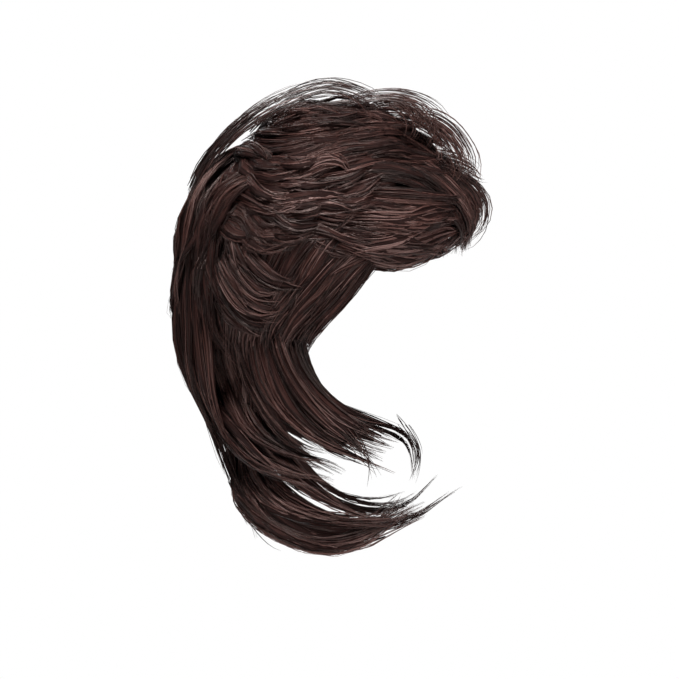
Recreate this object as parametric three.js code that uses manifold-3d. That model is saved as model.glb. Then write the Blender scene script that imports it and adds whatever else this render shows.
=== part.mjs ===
// A layered mullet wig: a thin stretch cap that fits the head, and the hair on it in overlapping sections,
// each a row of tapered locks that lap their neighbours. Millimetres, +Z up, +X to the wearer's face, +Y to
// the left. The origin is the inside of the cap at the crown, where the head bears against it.
import * as THREE from "three";
import { mergeVertices } from "three/addons/utils/BufferGeometryUtils.js";
import Module from "manifold-3d";

const wasm = await Module();
wasm.setup();

// Driving dimensions
const HEAD_LENGTH = 196;
const HEAD_WIDTH = 156;
const CROWN_HEIGHT = 92; // from the widest level of the head up to the crown
const TAIL_DROP = 245; // from the widest level down to the lowest hair
const CAP_WALL = 1.6;
const HAIR_DEPTH = 40; // how far the full hair stands off the head
const LOCK_WIDTH = 32;
const LOCK_THICKNESS = 13;
const LOCK_LAP = 8; // how far a lock covers its neighbour
const WISP_WIDTH = 4;
const WISP_THICKNESS = 2.6;
const CAP_GAP = 0.8; // clearance between the cap and the roots of the hair
const LAYER_GAP = 0.5; // clearance between one layer of hair and the next

// How uneven the locks of a section are: their tips in levels, their lift as a share
const TIP_SCATTER = 2.5;
const LIFT_SCATTER = 0.04;
const SCATTER_TURN = 2.4; // radians of the scatter's wave from one lock to the next

// How finely the curved pieces are faceted
const LOCK_SIDES = 4;
const LOCK_STEPS = 5;
const WISP_SIDES = 3;
const WISP_STEPS = 6;
const HEAD_COLUMNS = 24;
const CAP_ROWS = 6;
const DOME_ROWS = 8;
const NECK_ROWS = 14;
const MERGE_DISTANCE = 1e-3;

// The head below its widest level, and the neck. Drop is a share of TAIL_DROP, centre and length are shares
// of HEAD_LENGTH, and width is a share of HEAD_WIDTH.
const NECK_SECTIONS = [
  { drop: 0.0, centre: 0.0, length: 1.0, width: 1.0 },
  { drop: 0.12, centre: 0.0, length: 0.99, width: 0.99 },
  { drop: 0.25, centre: 0.01, length: 0.92, width: 0.95 },
  { drop: 0.42, centre: 0.01, length: 0.7, width: 0.82 },
  { drop: 0.6, centre: 0.01, length: 0.63, width: 0.76 },
  { drop: 0.81, centre: 0.01, length: 0.64, width: 0.77 },
  { drop: 1.0, centre: 0.01, length: 0.67, width: 0.8 },
  { drop: 1.15, centre: 0.01, length: 0.7, width: 0.84 },
];

// The cap's edge from the forehead, past the ear tab and the ear, to the nape. Turn is in degrees round the
// head from the face. Level is in degrees up the dome or, below 0, in percent of TAIL_DROP.
const CAP_EDGE = [
  { turn: 0, level: 38 },
  { turn: 30, level: 34 },
  { turn: 58, level: 20 },
  { turn: 74, level: 2 },
  { turn: 84, level: -8 },
  { turn: 94, level: -6 },
  { turn: 104, level: 0 },
  { turn: 114, level: -4 },
  { turn: 130, level: -22 },
  { turn: 155, level: -33 },
  { turn: 180, level: -35 },
];

// The width and thickness of a lock and of a wisp from root to tip, as shares of the fullest
const LOCK_TAPER = [
  { along: 0.0, width: 0.6, thickness: 0.35 },
  { along: 0.2, width: 0.95, thickness: 0.8 },
  { along: 0.5, width: 1.0, thickness: 1.0 },
  { along: 0.75, width: 0.6, thickness: 0.7 },
  { along: 0.92, width: 0.32, thickness: 0.4 },
  { along: 1.0, width: 0.05, thickness: 0.08 },
];
const WISP_TAPER = [
  { along: 0.0, width: 0.8, thickness: 0.8 },
  { along: 0.5, width: 1.0, thickness: 1.0 },
  { along: 1.0, width: 0.3, thickness: 0.4 },
];

// A route runs from root to tip in turn, level and lift, where lift off the head is a share of HAIR_DEPTH.
// The locks of a section lie evenly between its guide routes. A section on the middle line has its outer
// guide first, then the one along the middle.
const MIDDLE_SECTIONS = {
  nape_tail_centre: [
    {
      turn: [148, 152, 156, 152, 138],
      level: [-8, -35, -60, -80, -94],
      lift: [0.1, 0.25, 0.45, 0.35, 0.15],
    },
    {
      turn: [180, 180, 180, 180, 180],
      level: [-10, -35, -56, -72, -86],
      lift: [0.1, 0.3, 0.5, 0.42, 0.2],
    },
  ],
  back_layer_centre: [
    {
      turn: [142, 148, 152, 150, 142],
      level: [12, -10, -35, -56, -76],
      lift: [0.12, 0.46, 0.78, 0.8, 0.5],
    },
    {
      turn: [180, 180, 180, 180, 180],
      level: [14, -8, -32, -55, -74],
      lift: [0.12, 0.46, 0.8, 0.8, 0.52],
    },
  ],
  crown_back: [
    {
      turn: [128, 132, 134, 141, 147, 151],
      level: [56, 42, 22, 0, -20, -38],
      lift: [0.3, 0.66, 0.72, 0.7, 0.85, 0.92],
    },
    {
      turn: [180, 180, 180, 180, 180, 180],
      level: [68, 50, 25, 0, -22, -44],
      lift: [0.3, 0.78, 0.76, 0.7, 0.88, 1.0],
    },
  ],
  fringe_centre: [
    {
      turn: [17, 15, 12, 10, 8],
      level: [58, 44, 27, 13, 5],
      lift: [0.2, 0.68, 0.9, 0.72, 0.35],
    },
    {
      turn: [0, 0, 0, 0, 0],
      level: [60, 46, 29, 14, 3],
      lift: [0.2, 0.7, 0.94, 0.78, 0.35],
    },
  ],
  crown_top: [
    {
      turn: [166, 114, 58, 34, 22],
      level: [54, 60, 56, 45, 34],
      lift: [0.6, 0.8, 0.82, 0.88, 0.93],
    },
    {
      turn: [180, 180, 0, 0, 0],
      level: [58, 80, 78, 60, 44],
      lift: [0.64, 0.84, 0.88, 0.98, 1.02],
    },
  ],
};

// The sections on the sides, as the left one has them unless the right one has guides of its own
const SIDE_SECTIONS = {
  nape_tail: {
    left: [
      {
        turn: [140, 148, 140, 104, 54, 24],
        level: [-10, -50, -76, -89, -91, -78],
        lift: [0.1, 0.4, 0.35, 0.25, 0.5, 1.3],
      },
      {
        turn: [128, 134, 122, 92, 52, 24],
        level: [-8, -42, -66, -80, -83, -71],
        lift: [0.1, 0.32, 0.32, 0.25, 0.35, 0.7],
      },
      {
        turn: [118, 122, 106, 72, 36, 26],
        level: [-4, -30, -46, -52, -60, -74],
        lift: [0.1, 0.22, 0.25, 0.3, 0.6, 0.4],
      },
    ],
    right: [
      {
        turn: [140, 148, 140, 108, 72, 40],
        level: [-10, -50, -80, -95, -95, -83],
        lift: [0.1, 0.4, 0.35, 0.22, 0.2, 0.15],
      },
      {
        turn: [128, 136, 126, 98, 68, 46],
        level: [-8, -45, -70, -85, -86, -78],
        lift: [0.1, 0.32, 0.32, 0.25, 0.2, 0.2],
      },
      {
        turn: [118, 124, 114, 94, 78, 64],
        level: [-4, -32, -56, -68, -75, -77],
        lift: [0.1, 0.22, 0.25, 0.22, 0.2, 0.2],
      },
    ],
  },
  back_layer: {
    left: [
      {
        turn: [134, 143, 134, 113, 85, 58],
        level: [8, -25, -50, -65, -71, -70],
        lift: [0.12, 0.52, 0.6, 0.5, 0.4, 0.35],
      },
      {
        turn: [126, 131, 122, 102, 79, 58],
        level: [6, -20, -42, -52, -57, -57],
        lift: [0.12, 0.45, 0.52, 0.46, 0.42, 0.4],
      },
      {
        turn: [122, 121, 115, 106, 93, 79],
        level: [2, -15, -31, -44, -52, -57],
        lift: [0.12, 0.3, 0.4, 0.42, 0.42, 0.42],
      },
    ],
  },
  side_layer: {
    left: [
      {
        turn: [72, 74, 81, 93, 104, 111],
        level: [24, 10, -3, -15, -24, -31],
        lift: [0.1, 0.3, 0.38, 0.38, 0.34, 0.28],
      },
      {
        turn: [97, 100, 105, 115, 125, 134],
        level: [28, 12, -5, -19, -26, -25],
        lift: [0.1, 0.36, 0.46, 0.52, 0.55, 0.56],
      },
      {
        turn: [122, 125, 129, 135, 142, 150],
        level: [30, 16, 2, -12, -19, -18],
        lift: [0.1, 0.36, 0.46, 0.56, 0.64, 0.7],
      },
    ],
  },
  crown: {
    left: [
      {
        turn: [146, 124, 100, 78, 60],
        level: [34, 25, 17, 13, 8],
        lift: [0.5, 0.62, 0.62, 0.6, 0.58],
      },
      {
        turn: [152, 126, 95, 68, 46],
        level: [48, 40, 33, 29, 21],
        lift: [0.5, 0.62, 0.64, 0.68, 0.7],
      },
      {
        turn: [160, 126, 88, 54, 32],
        level: [60, 57, 54, 48, 38],
        lift: [0.5, 0.6, 0.64, 0.74, 0.82],
      },
    ],
  },
  fringe: {
    left: [
      {
        turn: [88, 73, 59, 44, 31],
        level: [24, 12, 4, 4, 10],
        lift: [0.12, 0.26, 0.38, 0.4, 0.38],
      },
      {
        turn: [76, 58, 43, 30, 19],
        level: [34, 26, 18, 12, 7],
        lift: [0.12, 0.38, 0.58, 0.58, 0.4],
      },
      {
        turn: [52, 38, 27, 19, 14],
        level: [50, 42, 30, 17, 5],
        lift: [0.12, 0.48, 0.72, 0.74, 0.38],
      },
    ],
  },
};

// Airy arches of hair that rise off the top of the crown, each with a route of its own
const WISPS = [
  {
    turn: [180, 181, 180, 178],
    level: [24, 42, 60, 80],
    lift: [1.02, 1.06, 1.06, 0.8],
  },
  {
    turn: [160, 158, 140, 100],
    level: [34, 50, 68, 74],
    lift: [1.0, 1.08, 1.1, 0.82],
  },
  {
    turn: [186, 196, 240, 345],
    level: [52, 68, 84, 80],
    lift: [1.0, 1.2, 1.34, 0.87],
  },
  {
    turn: [172, 150, 70, 14],
    level: [56, 74, 84, 72],
    lift: [1.0, 1.2, 1.36, 0.9],
  },
  {
    turn: [120, 60, 16, 6],
    level: [72, 78, 70, 52],
    lift: [0.8, 1.3, 1.45, 0.98],
  },
  {
    turn: [50, 14, 6, 2],
    level: [80, 68, 54, 40],
    lift: [0.84, 1.4, 1.5, 1.0],
  },
  {
    turn: [-60, -20, -10, -6],
    level: [78, 64, 50, 40],
    lift: [0.84, 1.3, 1.38, 1.0],
  },
];

const HAIR_COLOUR = 0x2e1c18;
const HAIR_ROUGHNESS = 0.45;
const CAP_COLOUR = 0x1d1614;
const CAP_ROUGHNESS = 0.8;
const DEGREE = Math.PI / 180;

// Reads a column of a table at a place between its rows, with smooth slopes
function readTable(rows, key, column, at) {
  const last = rows.length - 1;
  const clamped = Math.min(Math.max(at, rows[0][key]), rows[last][key]);
  let i = 0;
  while (i < last - 1 && clamped > rows[i + 1][key]) i += 1;
  const slope = (j) => {
    const a = rows[Math.max(j - 1, 0)];
    const b = rows[Math.min(j + 1, last)];
    return (b[column] - a[column]) / (b[key] - a[key]);
  };
  const span = rows[i + 1][key] - rows[i][key];
  const u = (clamped - rows[i][key]) / span;
  const rise = rows[i + 1][column] - rows[i][column];
  const start = slope(i) * span;
  const end = slope(i + 1) * span;
  const cubic = start + end - 2 * rise;
  return rows[i][column] + u * (start + u * (3 * rise - 2 * start - end + u * cubic));
}

// The point at a turn round the head, a level and a distance off it in millimetres
function onHead(turn, level, off) {
  const around = turn * DEGREE;
  if (level >= 0) {
    const up = level * DEGREE;
    return new THREE.Vector3(
      (HEAD_LENGTH / 2 + off) * Math.cos(up) * Math.cos(around),
      (HEAD_WIDTH / 2 + off) * Math.cos(up) * Math.sin(around),
      (CROWN_HEIGHT + off) * Math.sin(up) - CROWN_HEIGHT,
    );
  }
  const drop = -level / 100;
  const read = (column) => readTable(NECK_SECTIONS, "drop", column, drop);
  return new THREE.Vector3(
    read("centre") * HEAD_LENGTH + ((read("length") * HEAD_LENGTH) / 2 + off) * Math.cos(around),
    ((read("width") * HEAD_WIDTH) / 2 + off) * Math.sin(around),
    -CROWN_HEIGHT - drop * TAIL_DROP,
  );
}

// Moves every vertex of a primitive to where place(vertex, index) says
function reshape(geometry, place) {
  const position = geometry.getAttribute("position");
  const vertex = new THREE.Vector3();
  for (let i = 0; i < position.count; i += 1) {
    const moved = place(vertex.fromBufferAttribute(position, i), i);
    position.setXYZ(i, moved.x, moved.y, moved.z);
  }
  return geometry;
}

// The solid of a closed geometry, with its shared corners merged and its faces pointing out
function solidFrom(geometry) {
  geometry.deleteAttribute("normal");
  geometry.deleteAttribute("uv");
  const merged = mergeVertices(geometry, MERGE_DISTANCE);
  const corners = merged.index.array;
  const build = (turnOver) => {
    const kept = [];
    for (let i = 0; i < corners.length; i += 3) {
      const [a, b, c] = corners.slice(i, i + 3);
      if (a !== b && b !== c && c !== a) kept.push(a, turnOver ? c : b, turnOver ? b : c);
    }
    const vertProperties = merged.getAttribute("position").array;
    return new wasm.Manifold(new wasm.Mesh({ numProp: 3, vertProperties, triVerts: new Uint32Array(kept) }));
  };
  const solid = build(false);
  return solid.volume() > 0 ? solid : build(true);
}

// A closed form of rings round the head, from a pole in its first row to a pole in its last
function ringedSolid(rows, place) {
  const isPole = (row) => row === 0 || row === rows - 1;
  const profile = Array.from({ length: rows }, (_, row) => new THREE.Vector2(isPole(row) ? 0 : 1, -row));
  const lathe = new THREE.LatheGeometry(profile, HEAD_COLUMNS);
  const turnOf = (column) => (360 * column) / HEAD_COLUMNS - 180;
  return solidFrom(reshape(lathe, (_, i) => place(turnOf(Math.floor(i / rows)), i % rows)));
}

// The head and neck grown by a distance, which keeps the hair out of the wearer's room
function headForm(off) {
  const lowest = 100 * NECK_SECTIONS[NECK_SECTIONS.length - 1].drop;
  const rows = DOME_ROWS + NECK_ROWS + 2;
  return ringedSolid(rows, (turn, row) => {
    const neckRow = Math.min(row - DOME_ROWS, NECK_ROWS);
    const level = row <= DOME_ROWS ? 90 * (1 - row / DOME_ROWS) : (-lowest * neckRow) / NECK_ROWS;
    const point = onHead(turn, level, off);
    return row === rows - 1 ? new THREE.Vector3(0, 0, point.z) : point;
  });
}

// A dome of one wall, out from the crown to the edge and back along its inside
function capSolid() {
  return ringedSolid(2 * (CAP_ROWS + 1), (turn, row) => {
    const outside = row <= CAP_ROWS;
    const ring = outside ? row : 2 * CAP_ROWS + 1 - row;
    const edge = readTable(CAP_EDGE, "turn", "level", Math.abs(turn));
    return onHead(turn, 90 + ((edge - 90) * ring) / CAP_ROWS, outside ? CAP_WALL : 0);
  });
}

// The curve of a route, raised off the head by a share of HAIR_DEPTH
function curveOf({ turn, level, lift }, raise) {
  const points = turn.map((degrees, i) => onHead(degrees, level[i], (lift[i] + raise) * HAIR_DEPTH));
  return new THREE.CatmullRomCurve3(points, false, "centripetal");
}

// A closed tube of hair that follows a route, bent from a cylinder
function lockSolid(route, { width, thickness, taper, sides, steps }) {
  const middle = curveOf(route, 0);
  const raised = curveOf(route, 1);
  const cylinder = new THREE.CylinderGeometry(1, 1, 1, sides, steps);
  const bend = (vertex) => {
    const along = 0.5 - vertex.y;
    const point = middle.getPoint(along);
    const ahead = middle.getTangent(along);
    const outward = raised.getPoint(along).sub(point);
    const across = new THREE.Vector3().crossVectors(ahead, outward).normalize();
    outward.crossVectors(across, ahead).normalize();
    const wide = readTable(taper, "along", "width", along) * (width / 2);
    const thick = readTable(taper, "along", "thickness", along) * (thickness / 2);
    return point.addScaledVector(across, vertex.x * wide).addScaledVector(outward, vertex.z * thick);
  };
  return solidFrom(reshape(cylinder, bend));
}

// A section's locks and wisps joined in one solid, grown by a distance where it makes room for itself
function hairSolid({ routes, wisps }, grow) {
  const lock = {
    width: LOCK_WIDTH + 2 * grow,
    thickness: LOCK_THICKNESS + 2 * grow,
    taper: LOCK_TAPER,
    sides: LOCK_SIDES,
    steps: LOCK_STEPS,
  };
  const wisp = {
    width: WISP_WIDTH + 2 * grow,
    thickness: WISP_THICKNESS + 2 * grow,
    taper: WISP_TAPER,
    sides: WISP_SIDES,
    steps: WISP_STEPS,
  };
  const pieces = routes.map((route) => lockSolid(route, lock));
  pieces.push(...wisps.map((route) => lockSolid(route, wisp)));
  return wasm.Manifold.union(pieces);
}

// How many locks cover a section from side to side over the upper half of its length
function lockCount(guides) {
  const curves = guides.map((guide) => curveOf(guide, 0));
  const widthAt = (along) => {
    const points = curves.map((curve) => curve.getPoint(along));
    return points.slice(1).reduce((width, point, i) => width + point.distanceTo(points[i]), 0);
  };
  const widest = Math.max(widthAt(0), widthAt(0.25), widthAt(0.5));
  return Math.ceil(widest / (LOCK_WIDTH - LOCK_LAP)) + 1;
}

// The routes of a section's locks, evenly between its guides and uneven as cut hair is
function sectionRoutes(guides) {
  const count = lockCount(guides);
  return Array.from({ length: count }, (_, lock) => {
    const at = (lock * (guides.length - 1)) / (count - 1);
    const first = Math.min(Math.floor(at), guides.length - 2);
    const [near, far] = [guides[first], guides[first + 1]];
    const mix = (column) => near[column].map((value, i) => value + (far[column][i] - value) * (at - first));
    const scatter = Math.sin(SCATTER_TURN * (lock + 1));
    const level = mix("level");
    level[level.length - 1] -= TIP_SCATTER * scatter;
    const lift = mix("lift").map((share) => share * (1 + LIFT_SCATTER * scatter));
    return { turn: mix("turn"), level, lift };
  });
}

// A section across the middle line, whose third guide mirrors its first about the middle one
function middleLayer(name, wisps = []) {
  const [outer, middle] = MIDDLE_SECTIONS[name];
  const mirrored = { ...outer, turn: outer.turn.map((turn, i) => 2 * middle.turn[i] - turn) };
  return { name, wisps, routes: sectionRoutes([outer, middle, mirrored]) };
}

// A pair of sections, the right one mirrored from its guides
function sideLayers(name) {
  const { left, right = left } = SIDE_SECTIONS[name];
  const mirrored = right.map((guide) => ({ ...guide, turn: guide.turn.map((turn) => -turn) }));
  return [
    { name: name + "_right", wisps: [], routes: sectionRoutes(mirrored) },
    { name: name + "_left", wisps: [], routes: sectionRoutes(left) },
  ];
}

// The largest of a solid's bodies, without the slivers that a cut can leave
function largestBody(solid) {
  return solid.decompose().reduce((best, body) => (body.volume() > best.volume() ? body : best));
}

function meshOf(name, solid, color, roughness) {
  const { vertProperties, triVerts } = solid.getMesh();
  const geometry = new THREE.BufferGeometry();
  geometry.setAttribute("position", new THREE.BufferAttribute(new Float32Array(vertProperties), 3));
  geometry.setIndex(new THREE.BufferAttribute(new Uint32Array(triVerts), 1));
  geometry.computeVertexNormals();
  const mesh = new THREE.Mesh(geometry, new THREE.MeshStandardMaterial({ color, roughness, metalness: 0 }));
  mesh.name = name;
  return mesh;
}

// The sections from the innermost outwards, because each one is cut to clear all those inside it
const layers = [
  middleLayer("nape_tail_centre"),
  ...sideLayers("nape_tail"),
  middleLayer("back_layer_centre"),
  ...sideLayers("back_layer"),
  ...sideLayers("side_layer"),
  middleLayer("crown_back"),
  ...sideLayers("crown"),
  ...sideLayers("fringe"),
  middleLayer("fringe_centre"),
  middleLayer("crown_top", WISPS),
];

const wig = new THREE.Group();
wig.add(meshOf("cap", capSolid(), CAP_COLOUR, CAP_ROUGHNESS));
let taken = headForm(CAP_WALL + CAP_GAP);
for (const layer of layers) {
  const hair = largestBody(hairSolid(layer, 0).subtract(taken));
  wig.add(meshOf(layer.name, hair, HAIR_COLOUR, HAIR_ROUGHNESS));
  taken = taken.add(hairSolid(layer, LAYER_GAP));
}

export default wig;
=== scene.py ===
# %% [markdown]
# A layered mullet wig: short wavy hair swept forward over the crown, a fringe, and long tails that
# curve forward from the nape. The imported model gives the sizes. Each of its sections of hair is a
# plain solid, and this script dresses it with thousands of fine strands that follow the same routes.
# The strands are filled in from arrays, and the cap under them is shaped from a grid by operators, as
# by hand. Everything is in metres, with +X to the front, +Y to the left and +Z up, and the origin
# inside the cap at the crown.

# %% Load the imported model
import math
import bpy
import numpy as np
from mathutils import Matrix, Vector


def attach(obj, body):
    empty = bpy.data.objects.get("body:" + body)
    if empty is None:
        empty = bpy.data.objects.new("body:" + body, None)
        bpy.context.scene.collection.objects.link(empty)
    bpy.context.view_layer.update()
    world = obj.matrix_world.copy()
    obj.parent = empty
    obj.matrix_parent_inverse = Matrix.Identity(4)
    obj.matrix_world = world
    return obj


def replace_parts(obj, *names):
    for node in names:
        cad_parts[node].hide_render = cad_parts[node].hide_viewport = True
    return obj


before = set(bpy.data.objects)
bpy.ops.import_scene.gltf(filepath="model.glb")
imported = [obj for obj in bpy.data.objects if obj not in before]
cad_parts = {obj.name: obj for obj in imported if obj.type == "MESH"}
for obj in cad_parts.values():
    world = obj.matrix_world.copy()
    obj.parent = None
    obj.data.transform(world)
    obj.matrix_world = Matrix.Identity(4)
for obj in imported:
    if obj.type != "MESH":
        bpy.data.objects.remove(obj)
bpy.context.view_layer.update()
scene = bpy.context.scene
print("sections in the packed model:", sorted(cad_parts))

# %% [markdown]
# A wig takes the form that it is fitted on. Above its widest level that form is an ellipsoid, and
# below that level a table gives its sections. It isn't built, but every lock is placed by it. A place
# is then named as a hairdresser would say it: how far round the form, how far up, and how far off it.

# %% The form that the wig is fitted on
MM = 0.001
FORM_LENGTH = 196 * MM
FORM_WIDTH = 156 * MM
CROWN_HEIGHT = 92 * MM
TAIL_DROP = 245 * MM
HAIR_DEPTH = 40 * MM
LOWER_SECTIONS = {
    "drop": [0.0, 0.12, 0.25, 0.42, 0.6, 0.81, 1.0, 1.15],
    "centre": [0.0, 0.0, 0.01, 0.01, 0.01, 0.01, 0.01, 0.01],
    "length": [1.0, 0.99, 0.92, 0.7, 0.63, 0.64, 0.67, 0.7],
    "width": [1.0, 0.99, 0.95, 0.82, 0.76, 0.77, 0.8, 0.84],
}


def on_form(turn, level, off):
    """Points at a turn in degrees round the form from the front, a level, and a distance off it. Level is
    in degrees up the dome or, below 0, in percent of the tails' drop."""
    around = np.radians(turn)
    up = np.radians(np.maximum(level, 0))
    drop = np.maximum(-level, 0) / 100

    def read(column):
        return np.interp(drop, LOWER_SECTIONS["drop"], LOWER_SECTIONS[column])

    half_length = read("length") * FORM_LENGTH / 2 + off
    half_width = read("width") * FORM_WIDTH / 2 + off
    x = read("centre") * FORM_LENGTH + half_length * np.cos(up) * np.cos(around)
    y = half_width * np.cos(up) * np.sin(around)
    z = (CROWN_HEIGHT + off) * np.sin(up) - CROWN_HEIGHT - drop * TAIL_DROP
    return np.stack([x, y, z], axis=-1)


print("the back of the form is at", on_form(180.0, 0.0, 0.0).round(4))

# %% [markdown]
# A route is a row of places from root to tip. Most of the wig's right side is read off the side view
# of the photograph: a place there is its pixel, and either its lift off the form or how far aside of
# the middle it is. The other way of naming a place, by turn and level, follows from the pixel, and
# three rounds are enough to allow for the camera's perspective.

# %% From a pixel of the side view to a place on the form
PIXEL = 0.82 * MM
CROWN_PIXEL = (331, 146)
VIEW_DISTANCE = 3.0
PERSPECTIVE_ROUNDS = 3
AIM = (7 * MM, 0.0, -158.7 * MM)


def side_view(across, down, aside):
    """The x and z of pixels for things that lie aside of the middle plane, in perspective."""
    nearer = 1 + aside / VIEW_DISTANCE
    x = (np.asarray(across) - CROWN_PIXEL[0]) * PIXEL
    z = (CROWN_PIXEL[1] - np.asarray(down)) * PIXEL
    return AIM[0] + (x - AIM[0]) * nearer, AIM[2] + (z - AIM[2]) * nearer


def right_side(across, down, lift):
    """The turn and level of pixels on the right side, for hair lifted by shares of the full depth."""
    off = np.asarray(lift) * HAIR_DEPTH
    aside = np.full(len(off), -FORM_WIDTH / 2)
    for _ in range(PERSPECTIVE_ROUNDS):
        x, z = side_view(across, down, aside)
        up = np.degrees(np.arcsin(np.clip((z + CROWN_HEIGHT) / (CROWN_HEIGHT + off), 0, 1)))
        level = np.where(z < -CROWN_HEIGHT, (z + CROWN_HEIGHT) / TAIL_DROP * 100, up)
        front, back = on_form(0.0, level, off)[:, 0], on_form(180.0, level, off)[:, 0]
        share = (2 * x - front - back) / np.maximum(front - back, MM)
        turn = -np.degrees(np.arccos(np.clip(share, -1, 1)))
        aside = on_form(turn, level, off)[:, 1]
    return turn, level


print("the crown's pixel is", CROWN_PIXEL, "and a pixel covers", PIXEL, "metres")

# %% [markdown]
# A Catmull-Rom curve through a route's places gives a smooth path, and numpy reads it for thousands
# of strands at once: each strand brings its own row of shares along the route.

# %% Smooth curves for many strands at once
MOST_PAST_TIP = 1.06


def read_curves(points, along):
    """The places at shares along smooth curves: points (curve, point, 3) and along (curve, share)."""
    last = points.shape[1] - 1
    place = np.clip(along, 0, MOST_PAST_TIP) * last
    first = np.minimum(place.astype(int), last - 1)
    u = (place - first)[..., None]
    before = 2 * points[:, :1] - points[:, 1:2]
    after = 2 * points[:, -1:] - points[:, -2:-1]
    padded = np.concatenate([before, points, after], axis=1)
    a, b, c, d = (np.take_along_axis(padded, (first + shift)[..., None], axis=1) for shift in range(4))
    return b + 0.5 * u * ((c - a) + u * ((2 * a - 5 * b + 4 * c - d) + u * (3 * (b - c) + d - a)))


def unit(vectors):
    return vectors / np.maximum(np.linalg.norm(vectors, axis=-1, keepdims=True), 1e-9)


def frames_along(paths, outward):
    """For paths (path, station, 3) the unit directions across and outwards at every station."""
    ahead = unit(np.gradient(paths, axis=1))
    across = unit(np.cross(ahead, outward))
    return across, np.cross(across, ahead)


print("a curve can be read to", MOST_PAST_TIP, "times the length of its route")

# %% [markdown]
# A strand of hair is a thin closed tube. Three sides are enough under smooth shading, and keep the
# number of faces down to what a renderer and a game can take. All tubes of a section are one mesh,
# filled straight from arrays, because adding them one at a time would take hours. The UV map holds a
# strand's tint across and its run from root to tip upwards, so one material colours every strand by
# its own place on the map.

# %% Closed tubes as one mesh
UV_MAP = "OFBake"
LID_HEIGHT = 0.002


def tube_mesh(sets):
    """The arrays of a mesh that joins sets of tubes. A set holds paths, across, outwards, radii (path,
    station, 2), sides, ridges or none, tint and along (path, station), spread (how much of the map a girth
    covers) and finish (its material's number)."""
    all_points, all_corners, all_sizes, all_uvs, all_finishes, made = [], [], [], [], [], 0
    for s in sets:
        count, stations = s["paths"].shape[:2]
        sides = s["sides"]
        angle = 2 * np.pi * np.arange(sides) / sides
        ridges = s.get("ridges", 1.0)
        wide = s["across"][:, :, None] * (s["radii"][..., :1] * np.cos(angle) * ridges)[..., None]
        thick = s["outwards"][:, :, None] * (s["radii"][..., 1:] * np.sin(angle) * ridges)[..., None]
        all_points.append((s["paths"][:, :, None] + wide + thick).reshape(-1, 3))
        corner = made + np.arange(count * stations * sides).reshape(count, stations, sides)
        beside = np.roll(corner, -1, axis=2)
        quads = np.stack([corner[:, :-1], corner[:, 1:], beside[:, 1:], beside[:, :-1]], axis=-1)
        all_corners.append(quads.reshape(-1))
        all_sizes.append(np.full(quads.size // 4, 4))
        shape = quads.shape[:3]
        girth = s["spread"] * np.arange(sides + 1) / sides
        low, high = s["tint"][:, :-1, None], s["tint"][:, 1:, None]
        u = [low + girth[:-1], high + girth[:-1], high + girth[1:], low + girth[1:]]
        low, high = s["along"][:, :-1, None], s["along"][:, 1:, None]
        v = [np.broadcast_to(part, shape) for part in (low, high, high, low)]
        all_uvs.append(np.stack([np.stack(u, axis=-1), np.stack(v, axis=-1)], axis=-1).reshape(-1, 2))
        for end, order in ((0, 1), (stations - 1, -1)):
            lid = corner[:, end, ::order]
            all_corners.append(lid.reshape(-1))
            all_sizes.append(np.full(count, sides))
            lid_u = s["tint"][:, end][:, None] + girth[:-1]
            lid_v = s["along"][:, end][:, None] + LID_HEIGHT * np.arange(sides) / sides
            all_uvs.append(np.stack([lid_u, np.broadcast_to(lid_v, lid_u.shape)], axis=-1).reshape(-1, 2))
        all_finishes.append(np.full(quads.size // 4 + 2 * count, s["finish"]))
        made += count * stations * sides
    return (np.concatenate(part) for part in (all_points, all_corners, all_sizes, all_uvs, all_finishes))


def tube_object(name, sets, finishes):
    """A smooth-shaded object of closed tubes, attached to the root body, and how many triangles it has."""
    points, corners, sizes, uvs, numbers = tube_mesh(sets)
    mesh = bpy.data.meshes.new(name)
    mesh.vertices.add(len(points))
    mesh.vertices.foreach_set("co", points.astype(np.float32).ravel())
    mesh.loops.add(len(corners))
    mesh.loops.foreach_set("vertex_index", corners.astype(np.int32))
    mesh.polygons.add(len(sizes))
    mesh.polygons.foreach_set("loop_start", (np.cumsum(sizes) - sizes).astype(np.int32))
    mesh.polygons.foreach_set("use_smooth", np.ones(len(sizes), bool))
    for finish in finishes:
        mesh.materials.append(finish)
    mesh.polygons.foreach_set("material_index", numbers.astype(np.int32))
    mesh.update(calc_edges=True)
    mesh.uv_layers.new(name=UV_MAP).data.foreach_set("uv", uvs.astype(np.float32).ravel())
    piece = bpy.data.objects.new(name, mesh)
    scene.collection.objects.link(piece)
    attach(piece, "root")
    triangles = int((sizes - 2).sum())
    print(name, "has", sum(len(s["paths"]) for s in sets), "tubes and", triangles, "triangles")
    return triangles


# %% [markdown]
# A guide is a route in one of three forms, by its columns: turn, level and lift; across, down and
# lift for the right side; or across, down and aside for hair that stands free. Each is made a row of
# equally many places, with a second row a little further off the form, which tells the strands which
# way is outwards.

# %% Places and outward directions of guides
GUIDE_PLACES = 8
RAISE = 10 * MM


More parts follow.
